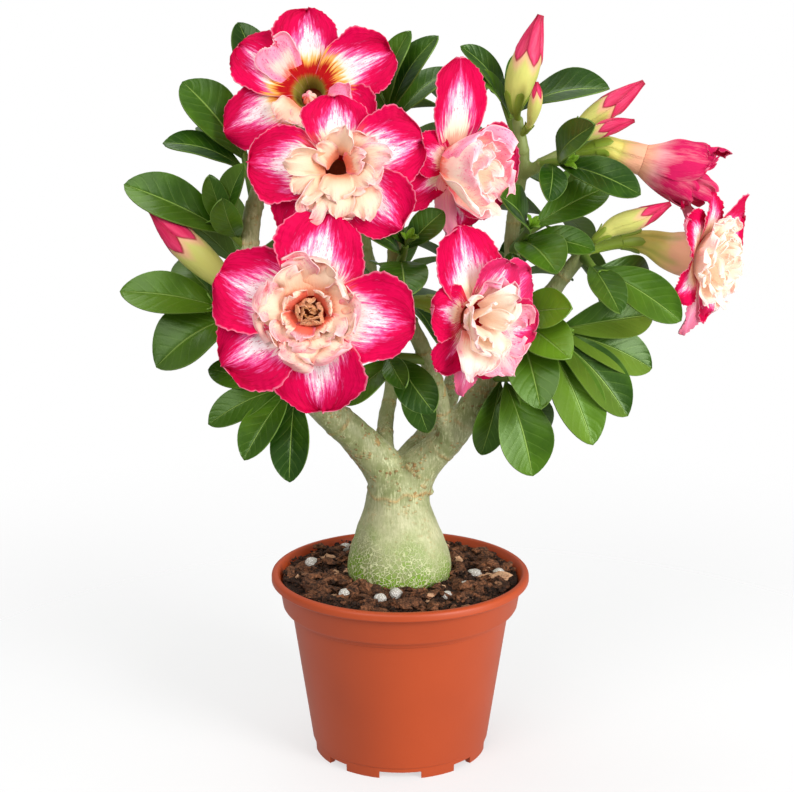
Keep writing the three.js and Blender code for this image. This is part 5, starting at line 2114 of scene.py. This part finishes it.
@dataclass(frozen=True)
class Budding(Assembly):
    """Every bud: a stalk and tube with furled petals above and sepals below."""

    radii: tuple[float, ...] = (1.3, 1.5, 3.1, 4.5, 5.8, 6.6, 6, 4, 1.2)
    stalk: int = 2
    petals: int = 5
    overlap: float = 0.15
    twist: float = 1.3
    size: float = 0.93
    notch: float = 0.11
    sepals: tuple[float, float, float] = (0.14, 0.30, 0.45)

    def build(self) -> None:
        """Model every bud."""
        ball = Pattern.ball(80, 60)
        share, turn = ball.around()
        closing = smooth(-share, -0.97, -0.75)
        for bud in BUDS:
            phase = (turn * self.petals / (2 * math.pi) + (share - bud.furled) * self.twist + 0.3) % 1.0
            lobe = share - bud.furled - self.notch * np.abs(2.0 * phase - 1.0) ** 1.3
            furled = smooth(lobe, -0.01, 0.03)
            edge = smooth(phase, 0.0, 0.10) * (1.0 - 0.9 * phase)
            swell = 1.0 + self.overlap * (edge - 0.45) * furled * (0.35 + 0.65 * closing) + 0.04 * furled
            radii = [r if i < self.stalk else r * bud.size * self.size for i, r in enumerate(self.radii)]
            limb = Limb(bud.line, radii)
            bundle = Bundle()
            bundle.add(ball, limb.cover(ball, swell), along=share, turn=turn, furl=phase, lobe=lobe)
            piece = join([bundle.make("bud-body"), sepals(limb, *self.sepals)], f"{bud.name}-furled")
            hand_over(piece, self.finishes.bud, "bud", bud.name)


# Studio


@dataclass(frozen=True)
class Lamp:
    """A soft rectangular light: its place and size in metres, and its power in watts."""

    name: str
    spot: Spot
    size: tuple[float, float]
    power: float

    def hang(self, aim: Spot) -> None:
        """Hang the light so that it looks at a place.

        Args:
            aim: The place, in metres.
        """
        data = bpy.data.lights.new(self.name, "AREA")
        data.shape = "RECTANGLE"
        data.size, data.size_y = self.size
        data.energy = self.power
        holder = placed(self.name, data)
        holder.location = self.spot
        holder.rotation_euler = (Vector(aim) - Vector(self.spot)).to_track_quat("-Z", "Y").to_euler()


@dataclass(frozen=True)
class Studio(Assembly):
    """A white floor, soft light and the camera."""

    camera_spot: tuple[float, float, float] = (-1.5, -657.0, 311.3)
    pitch: float = 12.23
    focal_pixels: float = 1474.6
    image_width: float = 794.0
    sensor: float = 36.0
    sky: float = 0.36
    floor_size: float = 1.4
    aim: Spot = (0.0, 0.0, 0.18)
    lamps: Sequence[Lamp] = (
        Lamp("key", (1.05, -1.05, 0.66), (0.55, 1.15), 22.0),
        Lamp("fill", (-0.62, -1.2, 1.15), (1.0, 1.0), 12.5),
        Lamp("top", (-0.25, 0.35, 1.5), (0.9, 0.9), 7.0),
        Lamp("strip", (0.72, -0.38, 0.12), (0.16, 0.7), 1.6),
    )

    def build(self) -> None:
        """Lay the floor, hang the lights and set the camera."""
        deselect()
        bpy.ops.mesh.primitive_plane_add(size=self.floor_size)
        floor = bpy.context.object
        floor.name = "studio-floor"
        floor.data.materials.append(self.finishes.floor)
        for lamp in self.lamps:
            lamp.hang(self.aim)
        bpy.context.scene.world = self._world()
        bpy.context.scene.view_settings.view_transform = "Standard"
        camera = bpy.data.cameras.new("camera")
        camera.sensor_width = self.sensor
        camera.lens = self.focal_pixels / self.image_width * self.sensor
        holder = placed("camera", camera)
        holder.location = (Vector(self.camera_spot) + Vector(POT_AXIS)) * MM
        holder.rotation_euler = (math.radians(90 - self.pitch), 0.0, 0.0)
        bpy.context.scene.camera = holder

    def _world(self) -> bpy.types.World:
        """Make white surroundings that light the plant softly and show as pure white.

        Returns:
            The world.
        """
        world = bpy.data.worlds.new("white studio")
        world.use_nodes = True
        tree = world.node_tree
        seen = tree.nodes.new("ShaderNodeLightPath").outputs["Is Camera Ray"]
        strength = tree.nodes.new("ShaderNodeMapRange")
        strength.inputs["To Min"].default_value = self.sky
        strength.inputs["To Max"].default_value = 1.0
        tree.links.new(seen, strength.inputs["Value"])
        tree.nodes["Background"].inputs["Color"].default_value = (1.0, 1.0, 1.0, 1.0)
        tree.links.new(strength.outputs["Result"], tree.nodes["Background"].inputs["Strength"])
        return world


def main() -> None:
    """Build the plant and its studio, piece by piece."""
    logging.basicConfig(level=logging.INFO, format="%(name)s %(message)s")
    finishes = Finishes()
    pot = Pot(finishes)
    pot.build()
    PottingMix(finishes, pot).build()
    for assembly in (Tree, Foliage, Blossoms, Budding, Studio):
        assembly(finishes).build()


if __name__ == "__main__":
    main()
